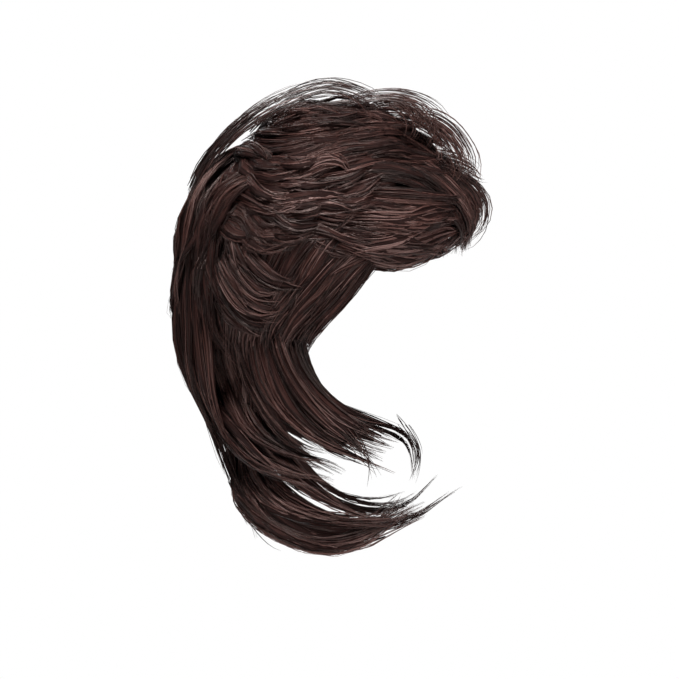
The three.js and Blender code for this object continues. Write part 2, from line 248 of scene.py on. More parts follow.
def guide_places(guide):
    """The places of a guide and the same places raised off the form, evenly spread, (2, place, 3)."""
    if "aside" in guide:
        aside = np.array(guide["aside"], float) * MM
        x, z = side_view(guide["across"], guide["down"], aside)
        low = np.stack([x, aside, z], axis=-1)
        inside = np.stack([0 * x, 0 * x, np.minimum(z, -CROWN_HEIGHT)], axis=-1)
        high = low + RAISE * unit(low - inside)
    else:
        if "turn" in guide:
            turn, level = np.array(guide["turn"], float), np.array(guide["level"], float)
        else:
            turn, level = right_side(guide["across"], guide["down"], guide["lift"])
        off = np.array(guide["lift"], float) * HAIR_DEPTH
        low, high = on_form(turn, level, off), on_form(turn, level, off + RAISE)
    steps = np.concatenate([[0], np.cumsum(np.linalg.norm(np.diff(low, axis=0), axis=1))])
    even = np.interp(np.linspace(0, steps[-1], GUIDE_PLACES), steps, np.linspace(0, 1, len(steps)))
    return read_curves(np.stack([low, high]), np.stack([even, even]))


def right(guides):
    """Guides of the right side, and those given by turn, as they are."""
    return [guide_places(guide) for guide in guides]


def left(guides):
    """The same guides mirrored to the left side."""
    return [guide_places(guide) * [1, -1, 1] for guide in guides]


def both(guides, middle):
    """A sheet from the right side over a guide in the middle plane to the left side."""
    return right(guides) + [guide_places(middle)] + left(guides)[::-1]


def whole(guides):
    """A sheet from the right side to the left side, where the last guide lies in the middle plane."""
    return right(guides) + left(guides[:-1])[::-1]


print("every guide is read at", GUIDE_PLACES, "places")

# %% [markdown]
# A wig's hair hangs in locks, and a lock in smaller bunches that stick together towards the tip. So a
# sheet of hair is made in steps, and locks come first: they lie between the sheet's guides, and each
# is a wavy path of its own. Brushed hair waves nearly in step, so a lock's wave starts where its
# neighbour's does, give or take.

# %% The locks of a sheet
LOCK_PLACE = (0.05, 0.95)
WAVE_SIZE = (0.6, 1.3)
FLICK_SIZE = (-0.4, 1.0)
WIDTH_SIZE = (0.7, 1.2)
LOCK_TINT_SCATTER = 0.13
LOCK_TINTS = (0.1, 0.8)
SWELL_AT_ROOT = 0.3
SWELL_GROWTH = 1.2
LATE_FROM = 0.5
SLANT_PIVOT = 0.4
CREST_STRETCH = 0.9
WIDTH_TAPER = ([0.0, 0.15, 0.45, 0.7, 0.88, 1.0, 1.1], [0.8, 1.0, 1.0, 0.74, 0.34, 0.08, 0.05])
THICK_TAPER = ([0.0, 0.15, 0.45, 0.7, 0.88, 1.0, 1.1], [0.4, 0.85, 1.0, 0.78, 0.42, 0.14, 0.1])


def spread_between(guides, at):
    """Places and raised places (path, place, 3) at shares of the way across a sheet's guides."""
    table = np.stack(guides).transpose(1, 2, 0, 3)
    at = np.broadcast_to(at, (GUIDE_PLACES, len(at)))
    return (read_curves(part, at).transpose(1, 0, 2) for part in table)


def make_locks(guides, count, look, rng):
    """Where the locks of a sheet lie, and how each one waves, flicks and is coloured."""
    at = (np.arange(count) + rng.uniform(*LOCK_PLACE, count)) / count
    low, high = spread_between(guides, at)
    up = unit(high - low)
    points = low + up * rng.uniform(-look["sink"], look["rise"], (count, 1, 1))
    start = rng.uniform(0, look["root_scatter"], count)
    return dict(
        points=points, raised=points + up * RAISE, start=start,
        span=np.minimum(rng.uniform(*look["span"], count), MOST_PAST_TIP - start),
        length=np.linalg.norm(np.diff(points, axis=1), axis=-1).sum(axis=1),
        phase=look["phase"] + look["phase_turn"] * at + rng.normal(0, look["phase_scatter"], count),
        wave=look["wave"] * rng.uniform(*WAVE_SIZE, count),
        flick=look["flick"] * rng.uniform(*FLICK_SIZE, count),
        sweep=look["sweep"] * rng.normal(0, 1, count),
        slant=look["slant"] * rng.normal(0, 1, count),
        half=np.stack([look["width"] * rng.uniform(*WIDTH_SIZE, count),
                       np.full(count, look["thick"])], axis=-1) / 2,
        tint=np.clip(rng.normal(look["tint"], LOCK_TINT_SCATTER, count), *LOCK_TINTS),
    )


def follow_locks(locks, which, share, own, look):
    """Paths that follow these locks at shares of their length, where own (path, station, 2) is each
    path's place across and outwards from the middle of its lock. Also their directions, and how near a
    crest they are."""
    pick = {key: value[which] for key, value in locks.items()}
    along = pick["start"][:, None] + pick["span"][:, None] * share
    middle = read_curves(pick["points"], along)
    across, outwards = frames_along(middle, read_curves(pick["raised"], along) - middle)
    run = 2 * np.pi * along * (pick["length"] / look["wavelength"])[:, None] + pick["phase"][:, None]
    swell = pick["wave"][:, None] * np.clip(SWELL_AT_ROOT + share * SWELL_GROWTH, 0, 1)
    late = np.clip(share - LATE_FROM, 0, 1) ** 2 / (1 - LATE_FROM) ** 2
    run_length = (pick["length"] * pick["span"])[:, None] * (share - SLANT_PIVOT)
    turned = pick["sweep"][:, None] * late + pick["slant"][:, None] * run_length
    side = swell * np.sin(run) + turned + own[..., 0]
    crest = np.cos(run * CREST_STRETCH)
    out = look["depth"] * swell * crest + pick["flick"][:, None] * late + own[..., 1]
    return middle + across * side[..., None] + outwards * out[..., None], across, outwards, crest


print("a lock is widest at", WIDTH_TAPER[0][1:3], "of its length")

# %% [markdown]
# Under the strands of every lock lies a body with ridges along it, as the mass of inner hair does,
# coloured dark as painted shade between the strands. It hides the cap and gives the lock its depth.
# Strands alone would need many more faces for that.

# %% The body under the strands of a lock
OUTER, INNER = 0, 1
BODY_SIDES = 10
BODY_STATIONS = 9
BODY_SHARE = 0.7
BODY_START = 0.08
BODY_END = 0.88
BODY_CLOSING = (0.02, 0.98)
BODY_FULLNESS = 0.35
RIDGE = 0.12
RIDGE_ALONG = RIDGE / 3


def body_set(locks, look, rng):
    """A closed body in each lock, with ridges along it."""
    count = len(locks["start"])
    share = np.broadcast_to(np.linspace(BODY_START, BODY_END, BODY_STATIONS), (count, BODY_STATIONS))
    middle = np.zeros((*share.shape, 2))
    paths, across, outwards, _ = follow_locks(locks, np.arange(count), share, middle, look)
    close = np.sin(np.pi * np.linspace(*BODY_CLOSING, BODY_STATIONS)) ** BODY_FULLNESS
    tapers = np.stack([np.interp(share, *WIDTH_TAPER), np.interp(share, *THICK_TAPER)], axis=-1)
    ridges = 1 + rng.uniform(-RIDGE, RIDGE, (count, 1, BODY_SIDES))
    ridges = ridges + rng.uniform(-RIDGE_ALONG, RIDGE_ALONG, (count, BODY_STATIONS, BODY_SIDES))
    return dict(paths=paths, across=across, outwards=outwards, sides=BODY_SIDES, ridges=ridges,
                radii=BODY_SHARE * locks["half"][:, None] * tapers * close[:, None],
                tint=np.zeros(share.shape), spread=1.0, along=share, finish=INNER)


print("a body has", BODY_SIDES * BODY_STATIONS, "points")

# %% [markdown]
# Where hair bunches over a crest it catches the light, and in a hollow it goes nearly black. The
# lights alone don't show this strongly enough, because real hair also shades itself fibre by fibre.
# So light and shade are painted into the strands' colour: they are made a little paler or darker by where
# they lie in the side view. This painted light and shade looks the same from every angle.

# %% Painted light and shade in patches: across, down, half width, half height and change of tint
PAINTED_LIGHT_PATCHES = [
    (414, 184, 34, 15, -0.60), (462, 214, 16, 22, -0.30), (336, 126, 24, 5, -0.25),
    (430, 166, 18, 9, -0.25), (352, 162, 9, 7, -0.30), (268, 226, 30, 6, -0.20),
    (214, 262, 18, 36, -0.32), (250, 160, 20, 5, -0.22), (302, 366, 14, 34, -0.20),
    (240, 462, 22, 26, -0.16), (300, 408, 30, 12, -0.10), (278, 470, 44, 9, -0.14),
    (190, 330, 14, 60, -0.08), (330, 230, 26, 8, -0.12), (232, 186, 24, 18, 0.10),
    (300, 203, 56, 9, 0.12), (330, 163, 14, 6, 0.20), (290, 148, 44, 7, 0.06),
    (415, 224, 34, 10, 0.14), (286, 110, 40, 6, 0.10), (404, 150, 30, 7, 0.08),
    (346, 284, 22, 22, 0.06), (250, 316, 24, 20, 0.08), (232, 376, 20, 30, 0.26),
    (264, 412, 32, 12, 0.26), (304, 428, 26, 8, 0.18), (246, 436, 12, 22, 0.20),
    (292, 462, 30, 8, 0.16), (300, 508, 40, 10, 0.14), (330, 548, 44, 6, 0.08),
]


def painted_light_and_shade(paths):
    """How much painted light or shade strands get by where they lie in the side view."""
    across = CROWN_PIXEL[0] + paths[..., 0] / PIXEL
    down = CROWN_PIXEL[1] - paths[..., 2] / PIXEL
    change = np.zeros(across.shape)
    for middle, height, wide, high, amount in PAINTED_LIGHT_PATCHES:
        change += amount * np.exp(-((across - middle) / wide) ** 2 - ((down - height) / high) ** 2)
    return change


print("patches of lighter and darker strands:", len(PAINTED_LIGHT_PATCHES))

# %% [markdown]
# Each strand keeps a place across its lock and is drawn to its bunch on the way to the tip. A few are
# loose and stray from the rest. Strands differ in thickness and tint, a bunch has a tint of its own, and
# some strands get a painted highlight, because without such differences hair looks like moulded plastic.

# %% The strands of a lock
STRAND_WIDTH = 0.85 * MM
STRAND_SIDES = 3
STRAND_SIZE = (0.45, 1.25)
LOOSE_SIZE = 0.65
PLACE_REACH = (0.4, 1.25)
BUNCH_SPREAD = np.array([0.9, 0.5])
BUNCH_RAISED = np.array([0, 0.3])
ROOT_PLACE = (-0.08, 0.14)
LONGEST = 1.02
TIP_SPREAD = (1.1, 3.0)
PULL_CURVE = 1.3
MOST_PULL = 0.95
DRIFT_LENGTH = 0.6
DRIFT_CURVE = 1.5
FRIZZ_SIZE = (0.2, 1.0)
FRIZZ_LENGTH = (0.5, 1.1)
BUNCH_TINT = 0.13
PAINTED_HIGHLIGHT_TINT = (0.15, 0.35)
OWN_TINT = (-0.02, 0.07)
# Painted light and shade: strands on a wave's crest are paler and those in its hollow darker, and strands
# high on a lock are paler and those low at its edges darker.
PAINTED_CREST_LIGHT = 0.07
PAINTED_HEIGHT_SHADE = 0.16
PAINTED_HEIGHT_MIDDLE = 0.4
TINTS = (0.02, 0.97)
TINT_ROUND_STRAND = 0.004
STRAND_TAPER = ([0.0, 0.1, 0.6, 0.85, 1.0], [0.6, 1.0, 0.95, 0.6, 0.12])
BUNCH_AT_ROOT = 0.35
LOOSE_FRIZZ = 5.0
LOOSE_SPREAD = 1.3


def strand_set(locks, strands, look, rng):
    """Strands round the outer side of each lock, drawn into bunches towards the tip."""
    locks_count, bunches = len(locks["start"]), look["bunches"]
    lock = np.repeat(np.arange(locks_count), strands)
    count = len(lock)
    angle = np.radians(90 + look["round"] * rng.uniform(-1, 1, count))
    reach = np.sqrt(rng.uniform(*PLACE_REACH, count))
    place = reach[:, None] * np.stack([np.cos(angle), np.sin(angle)], axis=-1)
    bunch_place = rng.uniform(-1, 1, (locks_count, bunches, 2)) * BUNCH_SPREAD + BUNCH_RAISED
    bunch = np.linalg.norm(place[:, None] - bunch_place[lock], axis=-1).argmin(axis=1)
    target = bunch_place[lock, bunch]
    first = np.clip(rng.uniform(*ROOT_PLACE, count), 0, 1)
    last = LONGEST - rng.beta(*TIP_SPREAD, count) * look["ragged"]
    own_share = np.linspace(0, 1, look["stations"])
    share = first[:, None] + (last - first)[:, None] * own_share
    pull = np.clip(BUNCH_AT_ROOT + look["clump"] * share ** PULL_CURVE, 0, MOST_PULL)[..., None]
    size = locks["half"][lock][:, None] * np.stack([np.interp(share, *WIDTH_TAPER),
                                                    np.interp(share, *THICK_TAPER)], axis=-1)
    offset = (place[:, None] * (1 - pull) + target[:, None] * pull) * size
    loose = rng.random(count) < look["loose"]
    bunch_phase = rng.uniform(0, 2 * np.pi, (locks_count, bunches, 2))[lock, bunch]
    waves = (locks["length"] * locks["span"])[lock] / (DRIFT_LENGTH * look["wavelength"])
    run = 2 * np.pi * share * waves[:, None]
    for axis in (0, 1):
        drift = np.sin(run + bunch_phase[:, axis, None]) * look["bunch_wave"] * share ** DRIFT_CURVE
        own_phase = rng.uniform(0, 2 * np.pi, (count, 1))
        own_size = rng.uniform(*FRIZZ_SIZE, (count, 1)) * np.where(loose, LOOSE_FRIZZ, 1.0)[:, None]
        frizz = np.sin(run * rng.uniform(*FRIZZ_LENGTH, (count, 1)) + own_phase)
        offset[..., axis] += drift + own_size * look["frizz"] * share * frizz
    offset[loose] *= LOOSE_SPREAD
    paths, across, outwards, crest = follow_locks(locks, lock, share, offset, look)
    thin = np.where(loose, LOOSE_SIZE, 1.0) * rng.uniform(*STRAND_SIZE, count)
    radius = STRAND_WIDTH / 2 * thin[:, None] * np.interp(own_share, *STRAND_TAPER)
    bunch_tint = rng.normal(0, BUNCH_TINT, (locks_count, bunches))[lock, bunch]
    # A share of strands get a painted highlight: they are paler all along.
    painted_highlight = np.where(rng.random(count) < look["painted_highlight"], rng.uniform(*PAINTED_HIGHLIGHT_TINT, count), 0)
    contrast = look["contrast"] * (bunch_tint + painted_highlight + rng.normal(*OWN_TINT, count))
    # Painted shade and highlight: lower strands of a lock darker, upper ones paler, crests paler, hollows
    # darker, and the patches by place.
    tint_with_painted_light = locks["tint"][lock] + contrast + PAINTED_HEIGHT_SHADE * (place[:, 1] - PAINTED_HEIGHT_MIDDLE)
    tint = np.clip(tint_with_painted_light[:, None] + PAINTED_CREST_LIGHT * crest + painted_light_and_shade(paths), *TINTS)
    return dict(paths=paths, across=across, outwards=outwards, sides=STRAND_SIDES,
                radii=np.repeat(radius[..., None], 2, axis=-1), finish=OUTER, tint=tint,
                spread=TINT_ROUND_STRAND, along=share)


def sheet_sets(guides, locks, strands, look, seed):
    """The sets of tubes of a sheet of hair: a body in each lock and the strands over it."""
    rng = np.random.default_rng(seed)
    made = make_locks(guides, locks, look, rng)
    return [body_set(made, look, rng), strand_set(made, strands, look, rng)]


print("a strand is", STRAND_WIDTH, "metres thick and has", STRAND_SIDES, "sides")

# %% [markdown]
# Over the crown, at the back and at the ends of the tails single hairs stand clear of the locks, and
# the light shows between them. They are the same tubes, thinner, spread between guides of their own.

# %% Single airy strands
AIRY_WIDTH = 0.82 * MM
AIRY_SIZE = (0.7, 1.2)
AIRY_BEND = 0.5
RIPPLE_TURNS = (0.4, 1.4)
RIPPLE_SHARE = 0.6
AIRY_TINT_SCATTER = 0.2
AIRY_TINTS_KEPT = (0.05, 0.95)


def airy_set(guides, strands, look, seed):
    """A set of thin single strands between guides, each with its own size and bend."""
    rng = np.random.default_rng(seed)
    points, raised = spread_between(guides, (np.arange(strands) + rng.uniform(0, 1, strands)) / strands)
    first = rng.uniform(0, look["root_scatter"], (strands, 1))
    last = rng.uniform(look["shortest"], 1.0, (strands, 1))
    share = np.linspace(0, 1, look["stations"])
    along = first + (last - first) * share
    middle = read_curves(points, along)
    across, outwards = frames_along(middle, read_curves(raised, along) - middle)
    bend = []
    for size in (look["aside"], look["off"]):
        steady = rng.normal(0, AIRY_BEND, (strands, 1)) * along
        turns = along * rng.uniform(*RIPPLE_TURNS, (strands, 1)) + rng.uniform(0, 1, (strands, 1))
        ripple = RIPPLE_SHARE * rng.uniform(0, 1, (strands, 1)) * np.sin(2 * np.pi * turns)
        bend.append(size * (steady + ripple))
    paths = middle + across * bend[0][..., None] + outwards * bend[1][..., None]
    radius = AIRY_WIDTH / 2 * rng.uniform(*AIRY_SIZE, (strands, 1)) * np.interp(share, *STRAND_TAPER)
    tint = np.clip(rng.normal(look["tint"], AIRY_TINT_SCATTER, (strands, 1)), *AIRY_TINTS_KEPT) + 0 * along
    return dict(paths=paths, across=across, outwards=outwards, sides=STRAND_SIDES,
                radii=np.repeat(radius[..., None], 2, axis=-1), finish=OUTER, tint=tint,
                spread=TINT_ROUND_STRAND, along=along)


print("an airy strand is", AIRY_WIDTH, "metres thick")

# %% [markdown]
# Materials are graphs of nodes. Drawn by hand they are easy to follow, but written out they get long,
# so a small class lets shader maths be written as plain sums, and one method adds every other kind of
# node.

# %% Shader maths as plain expressions
class Wire:
    """An output socket that takes part in Python arithmetic by adding Math nodes."""

    def __init__(self, maker, socket):
        self.maker, self.socket = maker, socket

    def math(self, operation, *values):
        return self.maker.node("ShaderNodeMath", dict(operation=operation), dict(enumerate(values)))

    def __add__(self, other):
        return self.math("ADD", self, other)

    def __radd__(self, other):
        return self.math("ADD", other, self)

    def __sub__(self, other):
        return self.math("SUBTRACT", self, other)

    def __rsub__(self, other):
        return self.math("SUBTRACT", other, self)

    def __mul__(self, other):
        return self.math("MULTIPLY", self, other)

    def __rmul__(self, other):
        return self.math("MULTIPLY", other, self)

    def __pow__(self, other):
        return self.math("POWER", self, other)


class Finish:
    """A new material with one surface shader, and a way to add any other node to it."""

    def __init__(self, name):
        self.material = bpy.data.materials.new(name)
        self.material.use_nodes = True
        self.tree = self.material.node_tree
        self.surface = self.tree.nodes["Principled BSDF"]

    def connect(self, socket, value):
        if isinstance(value, Wire):
            self.tree.links.new(value.socket, socket)
        else:
            socket.default_value = value

    def node(self, kind, settings=None, inputs=None, output=0):
        made = self.tree.nodes.new(kind)
        settings = dict(settings or {})
        stops = settings.pop("stops", None)
        for key, value in settings.items():
            setattr(made, key, value)
        if stops:
            ramp = made.color_ramp
            while len(ramp.elements) < len(stops):
                ramp.elements.new(1.0)
            for element, (position, colour) in zip(ramp.elements, stops):
                element.position, element.color = position, (*colour, 1.0)
        for key, value in (inputs or {}).items():
            self.connect(made.inputs[key], value)
        return Wire(self, made.outputs[output])

    def surface_values(self, **values):
        for key, value in values.items():
            self.connect(self.surface.inputs[key.replace("_", " ")], value)
        return self.material


print("nodes are added by", Finish.node.__name__, "and sums by", Wire.math.__name__)

# %% [markdown]
# The finish of a synthetic fibre wig: espresso brown, mauve where it is glossy, and auburn towards the
# thin tips as painted light shining through them. There are two, one for the strands and one darkened with
# painted shade for the bodies inside the locks. The tint on the map picks a strand's brown, painted light
# and shade included, fine streaks run from root to tip, and the last third turns redder with that painted
# light. Strands are real geometry, so their gloss breaks up as it does on hair, and the bodies have
# streaks in their bump instead.

# %% The hair's two finishes
DEEP_BROWN = (0.0028, 0.0010, 0.0010)
ESPRESSO = (0.0125, 0.0044, 0.0039)
WARM_BROWN = (0.0400, 0.0160, 0.0130)
AUBURN = (0.0780, 0.0330, 0.0275)
# The palest brown is the colour that strands with painted highlights reach.
PAINTED_HIGHLIGHT_BROWN = (0.1300, 0.0780, 0.0700)
GLOSS_TINT = (1.0, 0.77, 0.71, 1.0)
STRAND_STREAKS = (320.0, 5.0)
STREAK_TINT = 0.3
# Redder towards the tip: painted light shining through the thin tips.
TIP_PAINTED_TRANSLUCENCY = 0.12
TIP_TRANSLUCENCY_CURVE = 4.0
INNER_STREAKS = (34.0, 3.0)


def hair_finish():
    """The strands: a brown for each by its tint, with its painted light and shade, redder towards the tip
    with painted light shining through.
    """
    f = Finish("espresso_hair")
    uv = f.node("ShaderNodeUVMap", dict(uv_map=UV_MAP))
    tint = f.node("ShaderNodeSeparateXYZ", inputs={0: uv}, output=0)
    along = f.node("ShaderNodeSeparateXYZ", inputs={0: uv}, output=1)
    place = f.node("ShaderNodeCombineXYZ",
                   inputs={0: tint * STRAND_STREAKS[0], 1: along * STRAND_STREAKS[1]})
    streak = f.node("ShaderNodeTexNoise", inputs={"Vector": place, "Scale": 1.0, "Detail": 2.0})
    stops = [(0.0, DEEP_BROWN), (0.35, ESPRESSO), (0.6, WARM_BROWN), (0.82, AUBURN), (1.0, PAINTED_HIGHLIGHT_BROWN)]
    tone = tint + (streak - 0.5) * STREAK_TINT + (along ** TIP_TRANSLUCENCY_CURVE) * TIP_PAINTED_TRANSLUCENCY
    colour = f.node("ShaderNodeValToRGB", dict(stops=stops), {0: tone})
    rough = 0.32 + streak * 0.14
    bump = f.node("ShaderNodeBump", inputs={"Strength": 0.5, "Distance": 0.0006, "Height": streak})
    return f.surface_values(Base_Color=colour, Roughness=rough, Normal=bump, Specular_IOR_Level=0.42,
                            Specular_Tint=GLOSS_TINT)


def inner_painted_shade_finish():
    """The hair inside a lock: darkened with painted shade, with little gloss."""
    f = Finish("inner_hair_painted_shade")
    uv = f.node("ShaderNodeUVMap", dict(uv_map=UV_MAP))
    round_lock = f.node("ShaderNodeSeparateXYZ", inputs={0: uv}, output=0)
    along = f.node("ShaderNodeSeparateXYZ", inputs={0: uv}, output=1)
    place = f.node("ShaderNodeCombineXYZ",
                   inputs={0: round_lock * INNER_STREAKS[0], 1: along * INNER_STREAKS[1]})
    streak = f.node("ShaderNodeTexNoise", inputs={"Vector": place, "Scale": 1.0, "Detail": 3.0})
    # The dark browns of the bodies are painted shade of the inside of the lock.
    stops = [(0.35, DEEP_BROWN), (0.52, ESPRESSO), (0.72, WARM_BROWN)]
    colour = f.node("ShaderNodeValToRGB", dict(stops=stops), {0: streak})
    bump = f.node("ShaderNodeBump", inputs={"Strength": 0.9, "Distance": 0.002, "Height": streak})
    return f.surface_values(Base_Color=colour, Roughness=0.5, Normal=bump, Specular_IOR_Level=0.12,
                            Specular_Tint=GLOSS_TINT)


hair = [hair_finish(), inner_painted_shade_finish()]
print("hair finishes:", [finish.name for finish in hair])

# %% [markdown]
# Now the guides, sheet by sheet. Those of the crown run from the whorl at the back forward over the
# side, in shallow waves. A sheet's guides are listed in order across it.

# %% Guides of the side of the crown
CROWN_SIDE = [
    {"across": [208, 218, 238, 268, 303, 342], "down": [190, 216, 240, 254, 257, 246],
     "lift": [0.40, 0.50, 0.54, 0.56, 0.54, 0.46]},
    {"across": [208, 226, 256, 292, 328, 368], "down": [178, 200, 219, 229, 226, 212],
     "lift": [0.42, 0.56, 0.62, 0.62, 0.58, 0.52]},
    {"across": [212, 236, 273, 315, 358, 408, 442], "down": [165, 186, 198, 202, 192, 186, 202],
     "lift": [0.44, 0.58, 0.64, 0.64, 0.60, 0.54, 0.54]},
    {"across": [216, 242, 283, 325, 368, 418, 458], "down": [152, 169, 180, 180, 170, 170, 194],
     "lift": [0.46, 0.58, 0.64, 0.66, 0.64, 0.58, 0.60]},
    {"across": [222, 248, 290, 332, 376, 425, 466], "down": [142, 154, 160, 156, 148, 155, 184],
     "lift": [0.50, 0.60, 0.66, 0.68, 0.70, 0.66, 0.66]},
    {"across": [228, 254, 294, 336, 382, 428, 466], "down": [134, 138, 140, 134, 130, 143, 174],
     "lift": [0.54, 0.64, 0.68, 0.72, 0.74, 0.66, 0.66]},
    {"across": [234, 258, 294, 336, 382, 424, 462], "down": [128, 124, 122, 118, 119, 134, 164],
     "lift": [0.56, 0.68, 0.72, 0.76, 0.74, 0.62, 0.64]},
]
print("guides at the side of the crown:", len(CROWN_SIDE))

# %% [markdown]
# Behind the temple short hairs swing down and forward again in arcs, and others hang from the crown
# over the hair of the side. Both lie on top, so that no straight hem shows where one layer ends over
# the next.

# %% Guides of the arcs, and of the hair that hangs over the side
SWIRL = [
    {"across": [206, 206, 214, 230, 256, 290], "down": [236, 268, 298, 322, 334, 330],
     "lift": [0.56, 0.62, 0.64, 0.62, 0.56, 0.46]},
    {"across": [222, 224, 236, 258, 288, 318], "down": [218, 250, 278, 298, 304, 294],
     "lift": [0.54, 0.62, 0.64, 0.60, 0.54, 0.44]},
    {"across": [236, 246, 264, 290, 318, 344], "down": [212, 240, 262, 274, 270, 254],
     "lift": [0.54, 0.62, 0.64, 0.62, 0.58, 0.50]},
]
SIDE_COVER = [
    {"across": [270, 254, 240, 234, 238], "down": [206, 232, 262, 292, 320],
     "lift": [0.54, 0.62, 0.62, 0.58, 0.52]},
    {"across": [312, 294, 278, 268, 266], "down": [214, 240, 268, 298, 328],
     "lift": [0.56, 0.62, 0.60, 0.56, 0.50]},
    {"across": [352, 332, 312, 298, 288], "down": [222, 246, 272, 300, 326],
     "lift": [0.54, 0.58, 0.55, 0.50, 0.44]},
    {"across": [392, 372, 350, 330, 316], "down": [232, 252, 276, 302, 326],
     "lift": [0.48, 0.50, 0.46, 0.42, 0.38]},
]
print("guides of arcs and of hanging hair:", len(SWIRL) + len(SIDE_COVER))

# %% [markdown]
# Six waves of the crown stand out, each with a crest that catches the light. Every one is a narrow sheet
# of its own between two guides: the long main wave, the rolled loop at the back, a curl with a dark hook
# under it, the lower row, the fall to the back, and the wave over the temple. Their tints paint light and
# shade: the curl is paler with a painted highlight, and the rolled loop and the wave over the temple are
# darker with painted shade.

# %% Guides of the waves that stand out
CROWN_WAVES = [
    [{"across": [232, 262, 292, 322, 352, 384, 416], "down": [150, 160, 158, 149, 140, 142, 151],
      "lift": [0.56, 0.68, 0.74, 0.76, 0.76, 0.72, 0.64]},
     {"across": [236, 264, 294, 322, 350, 382, 412], "down": [162, 172, 170, 161, 153, 155, 163],
      "lift": [0.56, 0.68, 0.74, 0.76, 0.76, 0.72, 0.64]}],
    [{"across": [224, 244, 262, 273, 266], "down": [150, 145, 149, 160, 169],
      "lift": [0.56, 0.70, 0.76, 0.74, 0.62]},
     {"across": [230, 244, 256, 262, 258], "down": [158, 154, 156, 162, 167],
      "lift": [0.54, 0.68, 0.74, 0.72, 0.60]}],
    [{"across": [284, 304, 325, 344, 353], "down": [178, 165, 156, 158, 169],
      "lift": [0.62, 0.74, 0.82, 0.80, 0.68]},
     {"across": [291, 311, 329, 342, 347], "down": [187, 175, 167, 168, 175],
      "lift": [0.60, 0.72, 0.80, 0.78, 0.66]}],
    [{"across": [236, 266, 298, 328, 358, 388], "down": [194, 203, 197, 191, 199, 207],
      "lift": [0.56, 0.68, 0.74, 0.74, 0.70, 0.64]},
     {"across": [238, 268, 300, 330, 358, 386], "down": [207, 216, 210, 204, 211, 217],
      "lift": [0.54, 0.66, 0.72, 0.72, 0.68, 0.62]}],
    [{"across": [264, 242, 221, 204, 194], "down": [165, 170, 184, 207, 236],
      "lift": [0.48, 0.64, 0.70, 0.68, 0.62]},
     {"across": [270, 250, 231, 217, 209], "down": [178, 186, 202, 227, 255],
      "lift": [0.50, 0.66, 0.70, 0.68, 0.62]}],
    [{"across": [346, 376, 408, 437, 458], "down": [172, 165, 168, 181, 200],
      "lift": [0.60, 0.72, 0.76, 0.74, 0.68]},
     {"across": [350, 380, 408, 432, 449], "down": [184, 178, 182, 195, 212],
      "lift": [0.58, 0.68, 0.72, 0.72, 0.66]}],
]
print("waves that stand out:", len(CROWN_WAVES))

# %% [markdown]
# Where the crown's hair runs out over the fringe, loose locks cover the seam. Over the top and down
# the back the sheets run right across the wig, over a guide in the middle to the mirrored guides of
# the other side.

# %% Guides of the seam, the top and the back of the crown
SEAM_COVER = [
    {"across": [284, 318, 352, 388, 420, 444], "down": [232, 248, 256, 256, 248, 238],
     "lift": [0.54, 0.56, 0.54, 0.52, 0.50, 0.46]},
    {"across": [290, 326, 362, 398, 430, 456], "down": [212, 224, 232, 234, 230, 226],
     "lift": [0.60, 0.62, 0.62, 0.64, 0.62, 0.56]},
    {"across": [306, 342, 378, 412, 442, 464], "down": [190, 200, 208, 210, 210, 216],
     "lift": [0.62, 0.66, 0.70, 0.72, 0.72, 0.66]},
]
CROWN_TOP = [
    {"across": [236, 258, 294, 336, 380, 422, 456, 472], "down": [140, 128, 122, 118, 119, 134, 164, 196],
     "lift": [0.58, 0.70, 0.76, 0.78, 0.74, 0.62, 0.62, 0.70]},
    {"turn": [-172, -150, -110, -60, -30, -20, -16], "level": [56, 66, 74, 70, 56, 42, 28],
     "lift": [0.60, 0.74, 0.82, 0.78, 0.68, 0.58, 0.68]},
]
CROWN_TOP_MIDDLE = {"turn": [180, 180, 180, 0, 0, 0, 0], "level": [54, 68, 84, 78, 60, 44, 28],
                    "lift": [0.64, 0.78, 0.86, 0.80, 0.70, 0.58, 0.68]}
CROWN_BACK = [
    {"across": [262, 240, 224, 220, 232, 262], "down": [160, 194, 240, 288, 322, 336],
     "lift": [0.36, 0.50, 0.56, 0.58, 0.60, 0.58]},
    {"across": [252, 226, 208, 202, 208, 230], "down": [152, 188, 236, 288, 334, 368],
     "lift": [0.40, 0.54, 0.60, 0.62, 0.66, 0.66]},
    {"across": [244, 214, 196, 188, 190, 204], "down": [146, 180, 228, 284, 334, 382],
     "lift": [0.44, 0.56, 0.62, 0.64, 0.74, 0.82]},
]
CROWN_BACK_MIDDLE = {"turn": [180] * 6, "level": [66, 48, 24, 0, -22, -43],
                     "lift": [0.46, 0.66, 0.73, 0.71, 0.86, 1.0]}
print("guides of the seam, the top and the back:", len(SEAM_COVER) + len(CROWN_TOP) + len(CROWN_BACK))

# %% [markdown]
# The fringe is swept to the side over the temple, with a longer curve at its front edge and short
# locks in front. A thin layer under the sweep keeps light from showing through it from above.

